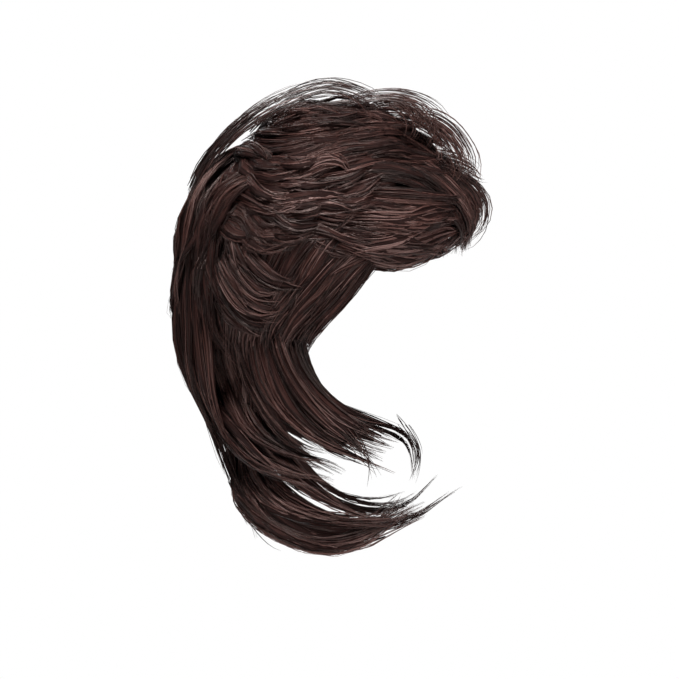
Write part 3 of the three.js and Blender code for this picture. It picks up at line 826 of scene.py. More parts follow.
# %% Guides of the fringe
FRINGE_SIDE = [
    {"across": [298, 330, 366, 400, 432, 456], "down": [214, 240, 257, 263, 254, 240],
     "lift": [0.20, 0.36, 0.42, 0.42, 0.40, 0.40]},
    {"across": [302, 338, 378, 414, 446, 466], "down": [204, 228, 242, 240, 230, 224],
     "lift": [0.24, 0.44, 0.56, 0.56, 0.50, 0.44]},
    {"across": [312, 350, 392, 430, 460, 474], "down": [194, 212, 218, 214, 212, 222],
     "lift": [0.28, 0.54, 0.66, 0.66, 0.60, 0.50]},
    {"across": [330, 368, 408, 444, 470, 480], "down": [184, 190, 190, 192, 204, 224],
     "lift": [0.30, 0.60, 0.72, 0.76, 0.74, 0.60]},
]
FRINGE_UNDER = [
    {"across": [338, 360, 382, 402, 418, 428], "down": [172, 194, 214, 232, 244, 250],
     "lift": [0.24, 0.27, 0.28, 0.28, 0.28, 0.30]},
    {"across": [364, 388, 410, 428, 440, 444], "down": [162, 176, 194, 214, 232, 246],
     "lift": [0.26, 0.34, 0.38, 0.40, 0.36, 0.32]},
    {"across": [384, 412, 436, 454, 464, 464], "down": [152, 162, 178, 198, 218, 238],
     "lift": [0.34, 0.46, 0.56, 0.62, 0.58, 0.40]},
]
FRINGE_SWEEP = [
    {"across": [338, 376, 414, 444, 460, 460], "down": [160, 168, 184, 204, 226, 244],
     "lift": [0.36, 0.44, 0.60, 0.66, 0.60, 0.40]},
    {"across": [352, 392, 430, 458, 473, 468], "down": [144, 150, 164, 188, 216, 240],
     "lift": [0.40, 0.50, 0.64, 0.74, 0.72, 0.44]},
    {"across": [366, 404, 438, 464, 480, 472], "down": [130, 136, 152, 178, 208, 236],
     "lift": [0.42, 0.54, 0.60, 0.72, 0.80, 0.50]},
]
FRINGE_FRONT = [
    {"turn": [-70, -50, -34, -25, -21, -18, -18, -18], "level": [64, 58, 46, 34, 26, 19, 13, 8],
     "lift": [0.40, 0.54, 0.54, 0.64, 0.70, 0.68, 0.42, 0.12]},
    {"turn": [-34, -28, -20, -16, -13, -11, -10, -10], "level": [68, 58, 46, 34, 26, 19, 13, 7],
     "lift": [0.40, 0.54, 0.54, 0.66, 0.74, 0.72, 0.44, 0.10]},
    {"turn": [-12, -10, -8, -7, -6, -5, -4, -4], "level": [70, 58, 46, 34, 26, 19, 13, 7],
     "lift": [0.40, 0.54, 0.54, 0.66, 0.76, 0.74, 0.46, 0.10]},
]
FRONT_MIDDLE = dict(FRINGE_FRONT[-1], turn=[0] * len(FRINGE_FRONT[-1]["turn"]))
print("guides of the fringe's sweep:", len(FRINGE_SIDE) + len(FRINGE_UNDER) + len(FRINGE_SWEEP))

# %% [markdown]
# The hair of the side falls back and down, and that of the back falls from the crown to below the
# nape. The long ends curve forward in a few tails, with gaps between them. The left side mirrors the
# right, apart from three lower tails that end in flicks further forward.

# %% Guides of the side, the back and the tails
SIDE_LAYER = [
    {"across": [390, 376, 352, 330, 314, 304], "down": [226, 254, 288, 314, 336, 356],
     "lift": [0.34, 0.40, 0.40, 0.38, 0.34, 0.28]},
    {"across": [362, 346, 322, 300, 286, 284], "down": [222, 256, 292, 320, 348, 376],
     "lift": [0.38, 0.46, 0.46, 0.44, 0.42, 0.38]},
    {"across": [326, 310, 288, 268, 260, 266], "down": [222, 256, 292, 322, 352, 384],
     "lift": [0.40, 0.50, 0.50, 0.50, 0.48, 0.44]},
    {"across": [290, 270, 250, 236, 234, 246], "down": [226, 258, 294, 326, 358, 390],
     "lift": [0.38, 0.46, 0.48, 0.50, 0.50, 0.48]},
    {"across": [252, 236, 224, 216, 218, 232], "down": [206, 240, 278, 316, 356, 394],
     "lift": [0.30, 0.40, 0.44, 0.48, 0.50, 0.50]},
    {"across": [234, 216, 204, 198, 202, 218], "down": [196, 234, 276, 316, 358, 398],
     "lift": [0.26, 0.38, 0.44, 0.48, 0.52, 0.54]},
]
BACK_UPPER = [
    {"across": [296, 298, 308, 326, 352, 392], "down": [300, 344, 376, 400, 418, 429],
     "lift": [0.28, 0.30, 0.38, 0.42, 0.42, 0.44]},
    {"across": [272, 276, 292, 316, 344, 374], "down": [290, 344, 388, 418, 440, 458],
     "lift": [0.28, 0.38, 0.46, 0.46, 0.44, 0.42]},
    {"across": [248, 247, 266, 298, 337, 384], "down": [282, 340, 390, 430, 454, 472],
     "lift": [0.28, 0.44, 0.52, 0.50, 0.46, 0.42]},
]
BACK_LOWER = [
    {"across": [247, 244, 259, 285, 311, 340], "down": [276, 336, 384, 421, 445, 460],
     "lift": [0.30, 0.48, 0.56, 0.56, 0.50, 0.44]},
    {"across": [212, 203, 213, 238, 274, 322], "down": [264, 326, 386, 432, 460, 474],
     "lift": [0.30, 0.56, 0.68, 0.68, 0.60, 0.50]},
    {"across": [206, 192, 199, 220, 254, 300], "down": [262, 322, 384, 436, 468, 486],
     "lift": [0.30, 0.60, 0.78, 0.80, 0.66, 0.50]},
]
BACK_LAYER_CENTRE = [
    {"turn": [-142, -148, -152, -150, -142], "level": [12, -10, -35, -56, -76],
     "lift": [0.3, 0.6, 0.92, 0.9, 0.55]},
    {"turn": [-162, -165, -167, -166, -160], "level": [14, -8, -33, -56, -75],
     "lift": [0.3, 0.6, 0.98, 0.92, 0.55]},
    {"turn": [-180] * 5, "level": [14, -8, -32, -55, -74], "lift": [0.3, 0.6, 1.0, 0.92, 0.55]},
]
TAIL_UPPER = [
    {"across": [256, 262, 282, 309, 342, 378], "down": [350, 410, 452, 476, 501, 517],
     "lift": [0.26, 0.26, 0.32, 0.30, 0.28, 0.30]},
    {"across": [246, 247, 262, 294, 342, 394], "down": [356, 430, 480, 508, 520, 520],
     "lift": [0.26, 0.34, 0.40, 0.36, 0.30, 0.30]},
    {"across": [240, 238, 252, 288, 341, 395], "down": [358, 438, 486, 513, 523, 521],
     "lift": [0.28, 0.38, 0.43, 0.37, 0.30, 0.29]},
]
TAIL_LOWER = [
    {"across": [238, 236, 250, 284, 338, 405], "down": [360, 444, 498, 530, 546, 514],
     "lift": [0.28, 0.40, 0.44, 0.38, 0.30, 0.24]},
    {"across": [230, 230, 242, 280, 342, 407], "down": [364, 446, 498, 535, 550, 511],
     "lift": [0.28, 0.46, 0.50, 0.42, 0.30, 0.24]},
]
LEFT_LOW = [
    {"turn": [148, 154, 144, 106, 54, 24], "level": [-10, -52, -79, -91, -92, -79],
     "lift": [0.28, 0.42, 0.36, 0.25, 0.5, 1.3]},
    {"turn": [136, 144, 134, 100, 53, 24], "level": [-10, -48, -74, -88, -91, -78.5],
     "lift": [0.28, 0.38, 0.34, 0.25, 0.5, 1.25]},
]
LEFT_MIDDLE = [
    {"turn": [134, 140, 128, 95, 52, 25], "level": [-8, -44, -69, -83, -85, -72],
     "lift": [0.28, 0.34, 0.32, 0.25, 0.35, 0.72]},
    {"turn": [126, 131, 119, 88, 50, 25], "level": [-8, -38, -62, -78, -83, -71],
     "lift": [0.28, 0.32, 0.3, 0.25, 0.35, 0.68]},
]
FLICK_LEFT = [
    {"turn": [122, 126, 112, 78, 42, 27], "level": [-4, -32, -49, -56, -62, -75],
     "lift": [0.26, 0.28, 0.26, 0.26, 0.44, 0.3]},
    {"turn": [118, 122, 106, 72, 36, 26], "level": [-4, -30, -46, -52, -60, -74],
     "lift": [0.26, 0.26, 0.25, 0.26, 0.48, 0.3]},
]
TAIL_CENTRE = [
    {"turn": [-148, -152, -156, -152, -142], "level": [-8, -35, -58, -74, -85],
     "lift": [0.28, 0.34, 0.5, 0.4, 0.2]},
    {"turn": [-164, -166, -168, -166, -158], "level": [-9, -35, -58, -76, -90],
     "lift": [0.28, 0.36, 0.52, 0.44, 0.22]},
    {"turn": [-180] * 5, "level": [-10, -35, -56, -72, -86], "lift": [0.28, 0.36, 0.54, 0.46, 0.24]},
]
print("guides of the side and the back:", len(SIDE_LAYER) + len(BACK_UPPER) + len(BACK_LOWER))

# %% [markdown]
# Airy strands rise off the crown in loops that the light shows through. Each pair of guides bounds
# one family of loops. Further pairs edge the back and the tips of the tails, where single hairs leave
# the outline.

# %% Guides of the airy strands
AIRY_ARCHES = [
    [{"across": [185, 200, 224, 254, 290, 326, 350, 368], "down": [192, 162, 134, 106, 88, 80, 83, 96],
      "aside": [0, -4, -8, -10, -10, -10, -8, -8]},
     {"across": [204, 222, 246, 276, 306, 338, 360, 372], "down": [188, 154, 132, 113, 102, 98, 102, 112],
      "aside": [-30, -32, -36, -40, -42, -42, -42, -42]}],
    [{"across": [184, 196, 212, 233, 258, 288], "down": [196, 169, 146, 124, 106, 94],
      "aside": [4, 0, -4, -6, -8, -8]},
     {"across": [192, 204, 220, 240, 265, 294], "down": [201, 173, 151, 131, 114, 103],
      "aside": [-20, -22, -24, -26, -28, -30]}],
    [{"across": [262, 292, 326, 358, 382, 396, 398], "down": [110, 88, 79, 84, 96, 114, 132],
      "aside": [20, 12, 4, -4, -10, -16, -20]},
     {"across": [272, 298, 326, 348, 362, 368, 364], "down": [120, 102, 94, 98, 108, 122, 136],
      "aside": [-34, -38, -40, -44, -46, -48, -50]}],
    [{"across": [330, 362, 398, 428, 448, 453, 442], "down": [104, 92, 88, 96, 112, 134, 152],
      "aside": [14, 8, 0, -6, -12, -18, -24]},
     {"across": [336, 358, 386, 410, 426, 430, 420], "down": [114, 105, 102, 108, 122, 138, 152],
      "aside": [-32, -36, -40, -44, -46, -48, -50]}],
    [{"across": [352, 378, 404, 424, 432, 428], "down": [112, 98, 96, 108, 126, 144],
      "aside": [20, 12, 4, -6, -16, -24]},
     {"across": [360, 380, 398, 410, 412, 404], "down": [120, 110, 110, 120, 134, 146],
      "aside": [-22, -28, -34, -38, -42, -44]}],
    [{"across": [352, 380, 408, 430, 445, 449, 440], "down": [110, 102, 105, 117, 134, 152, 164],
      "aside": [10, 4, -2, -8, -14, -20, -26]},
     {"across": [366, 388, 410, 427, 437, 436, 424], "down": [120, 114, 119, 131, 147, 160, 168],
      "aside": [-24, -30, -34, -38, -42, -44, -46]}],
    [{"across": [384, 408, 432, 452, 463, 468, 460], "down": [118, 113, 119, 133, 151, 170, 184],
      "aside": [8, 2, -4, -10, -16, -22, -28]},
     {"across": [376, 400, 421, 439, 449, 454, 446], "down": [128, 124, 130, 143, 160, 176, 188],
      "aside": [-30, -34, -38, -42, -44, -46, -48]}],
    [{"across": [394, 424, 450, 468, 478, 474, 458], "down": [112, 108, 118, 138, 160, 178, 188],
      "aside": [14, 10, 4, -2, -8, -14, -20]},
     {"across": [388, 414, 436, 450, 458, 452, 438], "down": [124, 122, 132, 146, 162, 178, 188],
      "aside": [-28, -34, -38, -42, -46, -48, -50]}],
    [{"across": [424, 454, 476, 489, 489, 477, 458], "down": [158, 166, 180, 198, 218, 236, 246],
      "aside": [10, 6, 0, -6, -12, -18, -24]},
     {"across": [420, 446, 466, 477, 477, 467, 450], "down": [166, 174, 187, 204, 222, 236, 244],
      "aside": [-28, -34, -38, -42, -44, -46, -48]}],
    [{"across": [428, 452, 470, 480, 472], "down": [148, 152, 160, 174, 184],
      "aside": [30, 26, 20, 12, 4]},
     {"across": [430, 450, 466, 480, 490], "down": [164, 168, 174, 180, 182],
      "aside": [-30, -34, -38, -42, -44]}],
]
AIRY_BACK = [
    {"across": [196, 180, 175, 177, 186, 204], "down": [196, 240, 290, 336, 370, 402],
     "aside": [0, 0, 0, 0, 0, 0]},
    {"across": [206, 190, 184, 184, 192, 210], "down": [206, 250, 296, 336, 372, 406],
     "aside": [-30, -30, -30, -30, -30, -30]},
]
AIRY_TAIL = [
    {"across": [206, 216, 230, 246, 268, 296], "down": [412, 450, 486, 516, 540, 550],
     "aside": [0, 0, -8, -20, -36, -50]},
    {"across": [216, 228, 241, 258, 282, 310], "down": [414, 452, 488, 516, 538, 548],
     "aside": [-36, -40, -46, -52, -58, -62]},
]
AIRY_UPPER_TAIL = [
    {"across": [318, 336, 350, 361, 367, 366], "down": [398, 413, 427, 445, 466, 488],
     "aside": [-80, -80, -80, -78, -76, -74]},
    {"across": [314, 332, 348, 362, 374, 384], "down": [406, 424, 440, 454, 465, 473],
     "aside": [-80, -82, -84, -84, -82, -80]},
]
AIRY_TIP = [
    {"across": [318, 334, 350, 366, 380, 392], "down": [388, 404, 416, 424, 428, 427],
     "aside": [-78, -80, -80, -80, -78, -76]},
    {"across": [318, 334, 350, 364, 376, 384], "down": [396, 412, 424, 432, 436, 436],
     "aside": [-80, -82, -82, -82, -80, -78]},
]
AIRY_FLICK_UP = [
    {"across": [356, 372, 386, 398, 405], "down": [516, 518, 510, 498, 484],
     "aside": [-66, -62, -58, -54, -50]},
    {"across": [358, 376, 390, 401, 407], "down": [521, 521, 514, 503, 492],
     "aside": [-66, -62, -58, -54, -50]},
]
AIRY_FLICKS = [
    {"across": [396, 408, 417, 421, 418, 412], "down": [412, 424, 438, 452, 468, 484],
     "aside": [60, 62, 64, 66, 66, 66]},
    {"across": [392, 404, 412, 415, 413, 410], "down": [420, 434, 446, 458, 470, 480],
     "aside": [54, 54, 54, 54, 54, 54]},
]

# %% [markdown]
# How the locks of each kind of sheet look: their size, how strongly they wave, and how uneven they
# are. Locks in a sheet wave nearly in step, so the sheet as a whole shows crests and hollows as
# brushed hair does.

# %% How the locks of the lengths look
LOOK = dict(width=20 * MM, thick=9 * MM, sink=5 * MM, rise=2 * MM, wave=3 * MM, depth=0.8,
            wavelength=95 * MM, phase=0.0, phase_turn=3.0, phase_scatter=0.5, flick=4 * MM, sweep=4 * MM,
            slant=0.02, root_scatter=0.2, span=(0.75, 1.0), bunches=8, clump=0.6,
            bunch_wave=1.2 * MM, frizz=0.5 * MM, loose=0.05, ragged=0.3, stations=11, round=120,
            tint=0.42, contrast=1.0, painted_highlight=0.14)
TAIL_LOOK = dict(LOOK, width=14 * MM, thick=8 * MM, sink=4 * MM, wave=2 * MM, wavelength=150 * MM,
                 flick=2 * MM, sweep=2 * MM, root_scatter=0.1, span=(0.84, 1.0), bunches=6, clump=0.8,
                 bunch_wave=0.8 * MM, frizz=0.3 * MM, loose=0.03, ragged=0.22, stations=12, round=180,
                 tint=0.36, contrast=1.8, painted_highlight=0.22)
# The left tails and flicks are darkened with painted shade, so that the tips on the right stand out
# against them.
FLICK_PAINTED_SHADE_LOOK = dict(TAIL_LOOK, width=9 * MM, thick=5 * MM, sink=2 * MM, wave=1 * MM, sweep=1 * MM,
                  flick=1 * MM, span=(0.84, 0.93), tint=0.1)
BACK_LOOK = dict(LOOK, width=14 * MM, thick=11 * MM, sink=6 * MM, rise=3 * MM, wavelength=130 * MM,
                 flick=2.5 * MM, sweep=2.5 * MM, span=(0.74, 1.0), bunches=6, clump=0.85,
                 bunch_wave=0.8 * MM, frizz=0.3 * MM, loose=0.03, ragged=0.28, round=150, tint=0.30,
                 contrast=1.8, painted_highlight=0.22)
SIDE_LOOK = dict(LOOK, width=13 * MM, thick=6 * MM, sink=3 * MM, wave=1.5 * MM, sweep=2.5 * MM, clump=0.75,
                 stations=9, tint=0.33, contrast=1.4, painted_highlight=0.2)
SWIRL_LOOK = dict(LOOK, width=12 * MM, thick=3 * MM, sink=1 * MM, rise=2 * MM, wave=1.5 * MM, flick=1 * MM,
                  sweep=4 * MM, slant=0.06, root_scatter=0.45, span=(0.35, 0.6), bunches=7, clump=0.4,
                  stations=9, tint=0.25, contrast=2.0, painted_highlight=0.2)
HANGING_LOOK = dict(SWIRL_LOOK, root_scatter=0.3, span=(0.5, 0.8), slant=0.12, tint=0.28)
print("locks of the tails are", TAIL_LOOK["width"], "metres wide")

# %% [markdown]
# The crown is layered: under it lie long locks, and on them short feathered ones that start and end
# anywhere along their guides. The fringe has narrower locks still, and airy strands need only a few
# values.

# %% How the locks of the crown and the fringe look
CROWN_LOOK = dict(LOOK, wave=4.2 * MM, depth=1.1, wavelength=56 * MM, phase_turn=5.0, phase_scatter=0.6,
                  flick=5 * MM, sweep=6 * MM, slant=0.08, root_scatter=0.3, span=(0.5, 0.9), clump=0.66,
                  bunch_wave=1.6 * MM, stations=10, tint=0.35)
FEATHER_LOOK = dict(CROWN_LOOK, width=15 * MM, thick=8 * MM, sink=1 * MM, rise=3 * MM, wave=5 * MM,
                    depth=0.9, wavelength=60 * MM, phase_scatter=1.0, flick=8 * MM, sweep=9 * MM,
                    slant=0.16, root_scatter=0.68, span=(0.26, 0.44), bunches=5, clump=0.75, stations=9)
BACK_CROWN_LOOK = dict(CROWN_LOOK, wave=2.6 * MM, depth=0.6, wavelength=90 * MM, flick=3 * MM,
                       sweep=5 * MM, tint=0.28)
BACK_FEATHER_LOOK = dict(FEATHER_LOOK, wave=2.6 * MM, flick=3 * MM, sweep=5 * MM, tint=0.28)
TOP_FEATHER_LOOK = dict(FEATHER_LOOK, rise=2 * MM, flick=4 * MM, span=(0.3, 0.5))
WAVE_LOOK = dict(FEATHER_LOOK, width=13 * MM, thick=7 * MM, sink=1 * MM, rise=2 * MM, wave=1.5 * MM,
                 flick=4 * MM, sweep=3 * MM, slant=0.05, root_scatter=0.2, span=(0.7, 0.95))
# Painted light and shade of the six waves: the curl paler as a highlight, the rolled loop and the wave
# over the temple darker as shade.
WAVE_PAINTED_LIGHT_TINTS = [0.38, 0.20, 0.52, 0.42, 0.42, 0.14]
COVER_LOOK = dict(FEATHER_LOOK, width=11 * MM, thick=5 * MM, wave=2.5 * MM, flick=2 * MM, sweep=5 * MM,
                  root_scatter=0.4, span=(0.45, 0.7), tint=0.52)
FRINGE_LOOK = dict(LOOK, width=13 * MM, thick=6 * MM, sink=3 * MM, wave=2 * MM, flick=2 * MM,
                   sweep=2.5 * MM, clump=0.7, stations=10, tint=0.60)
FRONT_LOOK = dict(FRINGE_LOOK, width=11 * MM, thick=4 * MM, rise=1 * MM, wave=2.5 * MM, wavelength=60 * MM,
                  flick=3 * MM, sweep=5 * MM, root_scatter=0.45, span=(0.5, 0.95), clump=0.75)
AIRY_LOOK = dict(tint=0.36, root_scatter=0.25, shortest=0.6, aside=5 * MM, off=3.5 * MM, stations=12)
ARCH_TINTS = [0.30, 0.30, 0.34, 0.56, 0.66, 0.66, 0.60, 0.50, 0.40, 0.40]
OUTLINE_LOOK = dict(AIRY_LOOK, tint=0.2, aside=4 * MM, off=2 * MM, root_scatter=0.4)
print("waves of the crown are", CROWN_LOOK["wavelength"], "metres long")

# %% [markdown]
# Every section is a list of sheets, each with its guides, how many locks it has, how many strands a
# lock has, and its look. Airy strands have no locks. A section's tubes are joined into one mesh,
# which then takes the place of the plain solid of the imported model.

# %% The sheets of every section
SECTIONS = {
    "nape_tail_centre": [(whole(TAIL_CENTRE), 18, 18, TAIL_LOOK)],
    "nape_tail_right": [(right(TAIL_UPPER), 14, 30, TAIL_LOOK),
                        (right(TAIL_LOWER), 15, 30, TAIL_LOOK)],
    "nape_tail_left": [(right(LEFT_LOW), 6, 28, FLICK_PAINTED_SHADE_LOOK),
                       (right(LEFT_MIDDLE), 6, 26, FLICK_PAINTED_SHADE_LOOK),
                       (right(FLICK_LEFT), 3, 26, FLICK_PAINTED_SHADE_LOOK),
                       (left(TAIL_LOWER), 9, 26, TAIL_LOOK)],
    "back_layer_centre": [(whole(BACK_LAYER_CENTRE), 19, 20, BACK_LOOK)],
    "back_layer_right": [(right(BACK_UPPER), 15, 32, BACK_LOOK),
                         (right(BACK_LOWER), 15, 30, BACK_LOOK),
                         (right(SWIRL), 22, 14, SWIRL_LOOK)],
    "back_layer_left": [(left(BACK_UPPER), 11, 26, BACK_LOOK),
                        (left(BACK_LOWER), 11, 24, BACK_LOOK),
                        (left(SWIRL), 16, 13, SWIRL_LOOK)],
    "side_layer_right": [(right(SIDE_LAYER), 26, 34, SIDE_LOOK)],
    "side_layer_left": [(left(SIDE_LAYER), 21, 24, SIDE_LOOK)],
    "crown_back": [(both(CROWN_BACK, CROWN_BACK_MIDDLE), 30, 24, BACK_CROWN_LOOK),
                   (both(CROWN_BACK, CROWN_BACK_MIDDLE), 24, 14, BACK_FEATHER_LOOK)],
    "crown_right": [(right(CROWN_SIDE), 22, 24, CROWN_LOOK),
                    (right(CROWN_SIDE), 50, 20, FEATHER_LOOK),
                    (right(SEAM_COVER), 24, 16, COVER_LOOK),
                    (right(SIDE_COVER), 24, 14, HANGING_LOOK)],
    "crown_left": [(left(CROWN_SIDE), 20, 24, CROWN_LOOK),
                   (left(CROWN_SIDE), 34, 15, FEATHER_LOOK),
                   (left(SEAM_COVER), 14, 14, COVER_LOOK)],
    "fringe_right": [(right(FRINGE_SIDE), 20, 36, FRINGE_LOOK),
                     (right(FRINGE_SWEEP), 22, 20, FRONT_LOOK),
                     (right(FRINGE_UNDER), 11, 11, FRONT_LOOK)],
    "fringe_left": [(left(FRINGE_SIDE), 15, 28, FRINGE_LOOK),
                    (left(FRINGE_SWEEP), 20, 16, FRONT_LOOK)],
    "fringe_centre": [(whole(FRINGE_FRONT + [FRONT_MIDDLE]), 38, 20, FRONT_LOOK)],
    "crown_top": [(both(CROWN_TOP, CROWN_TOP_MIDDLE), 26, 28, CROWN_LOOK),
                  (both(CROWN_TOP, CROWN_TOP_MIDDLE), 34, 16, TOP_FEATHER_LOOK)],
}
for wave, tint in zip(CROWN_WAVES, WAVE_PAINTED_LIGHT_TINTS):
    SECTIONS["crown_right"].append((right(wave), 4, 24, dict(WAVE_LOOK, tint=tint)))
AIRY = {
    "crown_top": [(right(arch), 34, dict(AIRY_LOOK, tint=tint))
                  for arch, tint in zip(AIRY_ARCHES, ARCH_TINTS)],
    "crown_back": [(right(AIRY_BACK), 30, OUTLINE_LOOK)],
    "nape_tail_right": [(right(AIRY_TAIL), 18, OUTLINE_LOOK),
                        (right(AIRY_FLICK_UP), 10, OUTLINE_LOOK)],
    "back_layer_right": [(right(AIRY_UPPER_TAIL), 20, OUTLINE_LOOK),
                         (right(AIRY_TIP), 12, OUTLINE_LOOK)],
    "nape_tail_left": [(right(AIRY_FLICKS), 14, OUTLINE_LOOK)],
}
print("sections:", len(SECTIONS), "and those with airy strands:", len(AIRY))

# %% Growing the hair
SEED_STEP = 100
AIRY_SEED = 50
total = 0
for seed, (name, sheets) in enumerate(SECTIONS.items()):
    sets = []
    for part, (guides, locks, strands, look) in enumerate(sheets):
        sets += sheet_sets(guides, locks, strands, look, SEED_STEP * seed + part)
    for part, (guides, strands, look) in enumerate(AIRY.get(name, [])):
        sets.append(airy_set(guides, strands, look, SEED_STEP * seed + AIRY_SEED + part))
    total += tube_object("hair_" + name, sets, hair)
    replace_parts(bpy.data.objects["hair_" + name], name)
print("hair triangles in all:", total)

# %% [markdown]
# The cap under the hair is a thin stretch net with an elastic hem, and the hair hangs from strips
# that are sewn to it in rows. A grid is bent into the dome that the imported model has, its seam and
# pole are merged, and Solidify gives it its wall. The hem and the strips are flat cords laid on it,
# made as strands are.

# %% The cap and its hem
CAP_EDGE = {"turn": [0, 30, 58, 74, 84, 94, 104, 114, 130, 155, 180],
            "level": [38, 34, 20, 2, -8, -6, 0, -4, -22, -33, -35]}
CAP_COLUMNS = 96
CAP_ROWS = 30
NET_WALL = 0.8 * MM
MERGE_DISTANCE = 0.00001
CORD_SIDES = 8
CORD_SPREAD = 0.3


def cap_place(turn, down, off):
    """A place on the cap: down is 0 at the crown and 1 at the edge."""
    edge = np.interp(np.abs(turn), CAP_EDGE["turn"], CAP_EDGE["level"])
    return on_form(turn, 90 + (edge - 90) * down, off)


def cap_net(material):
    """A grid bent into the dome of the cap, closed at its seam and its pole, with a wall."""
    bpy.ops.object.select_all(action="DESELECT")
    bpy.ops.mesh.primitive_grid_add(x_subdivisions=CAP_COLUMNS, y_subdivisions=CAP_ROWS, size=1,
                                    calc_uvs=True)
    net = bpy.context.object
    net.name = "cap_net"
    flat = np.empty(3 * len(net.data.vertices))
    net.data.vertices.foreach_get("co", flat)
    x, y = flat.reshape(-1, 3)[:, :2].T
    net.data.vertices.foreach_set("co", cap_place(360 * x, 0.5 - y, 0.0).ravel())
    net.data.uv_layers[0].name = UV_MAP
    bpy.ops.object.mode_set(mode="EDIT")
    bpy.ops.mesh.select_all(action="SELECT")
    bpy.ops.mesh.remove_doubles(threshold=MERGE_DISTANCE)
    bpy.ops.mesh.normals_make_consistent(inside=False)
    bpy.ops.object.mode_set(mode="OBJECT")
    bpy.ops.object.shade_smooth()
    wall = net.modifiers.new("wall", "SOLIDIFY")
    wall.thickness = NET_WALL
    wall.offset = 1
    bpy.ops.object.modifier_apply(modifier="wall")
    net.data.materials.append(material)
    return net


def cord_set(turns, down, off, size, tint):
    """A closed cord on the cap along turns, at one share of the way down to its edge."""
    path = cap_place(turns, down, off)[None]
    across, outwards = frames_along(path, path - [0, 0, -CROWN_HEIGHT])
    radii = np.broadcast_to(np.array(size) / 2, (*path.shape[:2], 2))
    along = np.linspace(0, 1, path.shape[1])[None]
    return dict(paths=path, across=across, outwards=outwards, sides=CORD_SIDES, radii=radii, finish=OUTER,
                tint=np.full(along.shape, tint), spread=CORD_SPREAD, along=along)


print("the cap has", CAP_COLUMNS, "columns and", CAP_ROWS, "rows")

# %% [markdown]
# The net is knitted in two slanting directions, so its finish is the higher of two rows of waves. The
# strips are sewn with close stitches across them. Both are dull, dark yarn.

# %% The finishes of the cap
CAP_BROWN = (0.018, 0.011, 0.009)
CAP_LIGHT = (0.05, 0.033, 0.027)
NET_COLUMNS = 260.0
NET_SLANT = 110.0
STITCHES = 900.0


def net_finish():
    f = Finish("stretch_net")
    uv = f.node("ShaderNodeUVMap", dict(uv_map=UV_MAP))
    u = f.node("ShaderNodeSeparateXYZ", inputs={0: uv}, output=0)
    v = f.node("ShaderNodeSeparateXYZ", inputs={0: uv}, output=1)
    one_way, other_way = u * NET_COLUMNS + v * NET_SLANT, u * NET_COLUMNS - v * NET_SLANT
    ribs = f.node("ShaderNodeMath", dict(operation="SINE"), {0: one_way * math.pi})
    cross = f.node("ShaderNodeMath", dict(operation="SINE"), {0: other_way * math.pi})
    mesh_height = f.node("ShaderNodeMath", dict(operation="MAXIMUM"), {0: ribs, 1: cross})
    shade = mesh_height * 0.5 + 0.5
    colour = f.node("ShaderNodeValToRGB", dict(stops=[(0.3, CAP_BROWN), (1.0, CAP_LIGHT)]), {0: shade})
    bump = f.node("ShaderNodeBump", inputs={"Strength": 0.6, "Distance": 0.0004, "Height": shade})
    return f.surface_values(Base_Color=colour, Roughness=0.8 - shade * 0.15, Normal=bump)


def strip_finish():
    f = Finish("sewn_strip")
    uv = f.node("ShaderNodeUVMap", dict(uv_map=UV_MAP))
    v = f.node("ShaderNodeSeparateXYZ", inputs={0: uv}, output=1)
    stitch = f.node("ShaderNodeMath", dict(operation="SINE"), {0: v * STITCHES})
    shade = stitch * 0.5 + 0.5
    colour = f.node("ShaderNodeValToRGB", dict(stops=[(0.2, CAP_BROWN), (1.0, CAP_LIGHT)]), {0: shade})
    bump = f.node("ShaderNodeBump", inputs={"Strength": 0.7, "Distance": 0.0005, "Height": shade})
    return f.surface_values(Base_Color=colour, Roughness=0.75 - shade * 0.1, Normal=bump)


net_material, strip_material = net_finish(), strip_finish()
print("cap finishes:", net_material.name, strip_material.name)

# %% Making the net
net = cap_net(net_material)
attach(net, "root")
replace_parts(net, "cap")
print(net.name, "has", len(net.data.polygons), "faces")

# %% The hem and the sewn strips
HEM_SIZE = (5 * MM, 2.2 * MM)
HEM_TINT = 0.1
STRIP_SIZE = (2.6 * MM, 1.2 * MM)
STRIP_TINT = 0.5
STRIP_ROWS = 9
STRIP_TOP = 0.42
STRIP_STEP = 0.06
STRIP_INSET = 0.4 * MM
hem_turns = np.linspace(-179.9, 179.9, 121)
strip_turns = np.linspace(75, 285, 71)
strip_turns = np.where(strip_turns > 180, strip_turns - 360, strip_turns)
hem_sets = [cord_set(hem_turns, 1.0, NET_WALL / 2, HEM_SIZE, HEM_TINT)]
strip_sets = []
for row in range(STRIP_ROWS):
    down = STRIP_TOP + STRIP_STEP * row
    strip_sets.append(cord_set(strip_turns, down, -STRIP_INSET, STRIP_SIZE, STRIP_TINT))
for name, sets in (("cap_hem", hem_sets), ("cap_strips", strip_sets)):
    total += tube_object(name, sets, [strip_material])
print("hair, hem and strips have", total, "triangles")

# %% [markdown]
# The stage: a wide pale floor under the wig and a white surrounding. The surrounding is white to the
# camera but dim as a light, so the lamps still shape the hair.

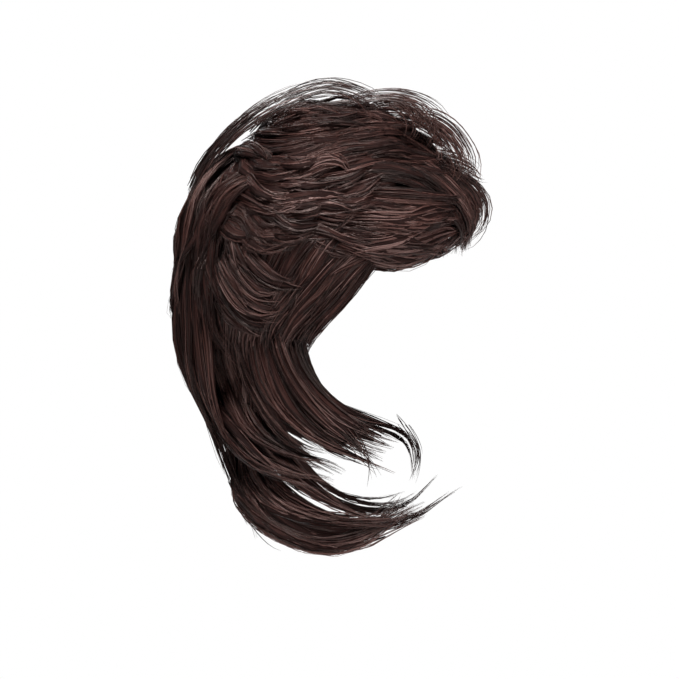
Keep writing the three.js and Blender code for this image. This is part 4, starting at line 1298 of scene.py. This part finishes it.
# %% Floor and surrounding
FLOOR_LEVEL = -0.6
FLOOR_RADIUS = 1.2
FLOOR_CORNERS = 96
FLOOR_WHITE = (0.9, 0.9, 0.9, 1)
AMBIENT = 0.24
bpy.ops.object.select_all(action="DESELECT")
bpy.ops.mesh.primitive_circle_add(vertices=FLOOR_CORNERS, radius=FLOOR_RADIUS, fill_type="NGON",
                                  location=(0, 0, FLOOR_LEVEL))
floor = bpy.context.object
floor.name = "floor"
paper = Finish("white_paper")
floor.data.materials.append(paper.surface_values(Base_Color=FLOOR_WHITE, Roughness=0.9))

scene.world = bpy.data.worlds.new("white_surrounding")
scene.world.use_nodes = True
sky = scene.world.node_tree
surrounding = sky.nodes["Background"]
surrounding.inputs["Color"].default_value = (1, 1, 1, 1)
seen = sky.nodes.new("ShaderNodeLightPath")
strength = sky.nodes.new("ShaderNodeMapRange")
strength.inputs["To Min"].default_value = AMBIENT
strength.inputs["To Max"].default_value = 1.0
sky.links.new(seen.outputs["Is Camera Ray"], strength.inputs["Value"])
sky.links.new(strength.outputs["Result"], surrounding.inputs["Strength"])
scene.view_settings.view_transform = "Standard"
print("floor at", FLOOR_LEVEL, "and surrounding light", AMBIENT)

# %% [markdown]
# Three large soft lamps: the key, high on the camera's side, brings out the gloss along the crests,
# the fill softens the fringe, and the one on the far side lights the edge and the inside of the
# tails.

# %% Lights: name, place, size in metres and power in watts
LIGHTS = [
    ("key_light", (-0.4, -1.1, 1.9), 0.5, 95),
    ("fill_light", (1.3, -1.4, 0.3), 0.7, 24),
    ("back_light", (-0.4, 1.5, 1.2), 0.8, 25),
]
LIT_POINT = Vector((0, 0, -0.15))
for name, place, size, power in LIGHTS:
    light = bpy.data.lights.new(name, "AREA")
    light.size = size
    light.energy = power
    lamp = bpy.data.objects.new(name, light)
    lamp.location = place
    lamp.rotation_euler = (LIT_POINT - Vector(place)).to_track_quat("-Z", "Y").to_euler()
    scene.collection.objects.link(lamp)
print("lamps:", len(LIGHTS))

# %% [markdown]
# The camera looks square on at the wig's right side from three metres, a common distance for such a
# photo.

# %% Camera
VIEW_WIDTH = 0.557
SENSOR = 36
camera_data = bpy.data.cameras.new("camera")
camera_data.sensor_width = SENSOR
camera_data.lens = SENSOR * VIEW_DISTANCE / VIEW_WIDTH
camera = bpy.data.objects.new("camera", camera_data)
camera.location = (AIM[0], -VIEW_DISTANCE, AIM[2])
camera.rotation_euler = (math.pi / 2, 0, 0)
scene.collection.objects.link(camera)
scene.camera = camera
print("the lens is", camera_data.lens, "mm")
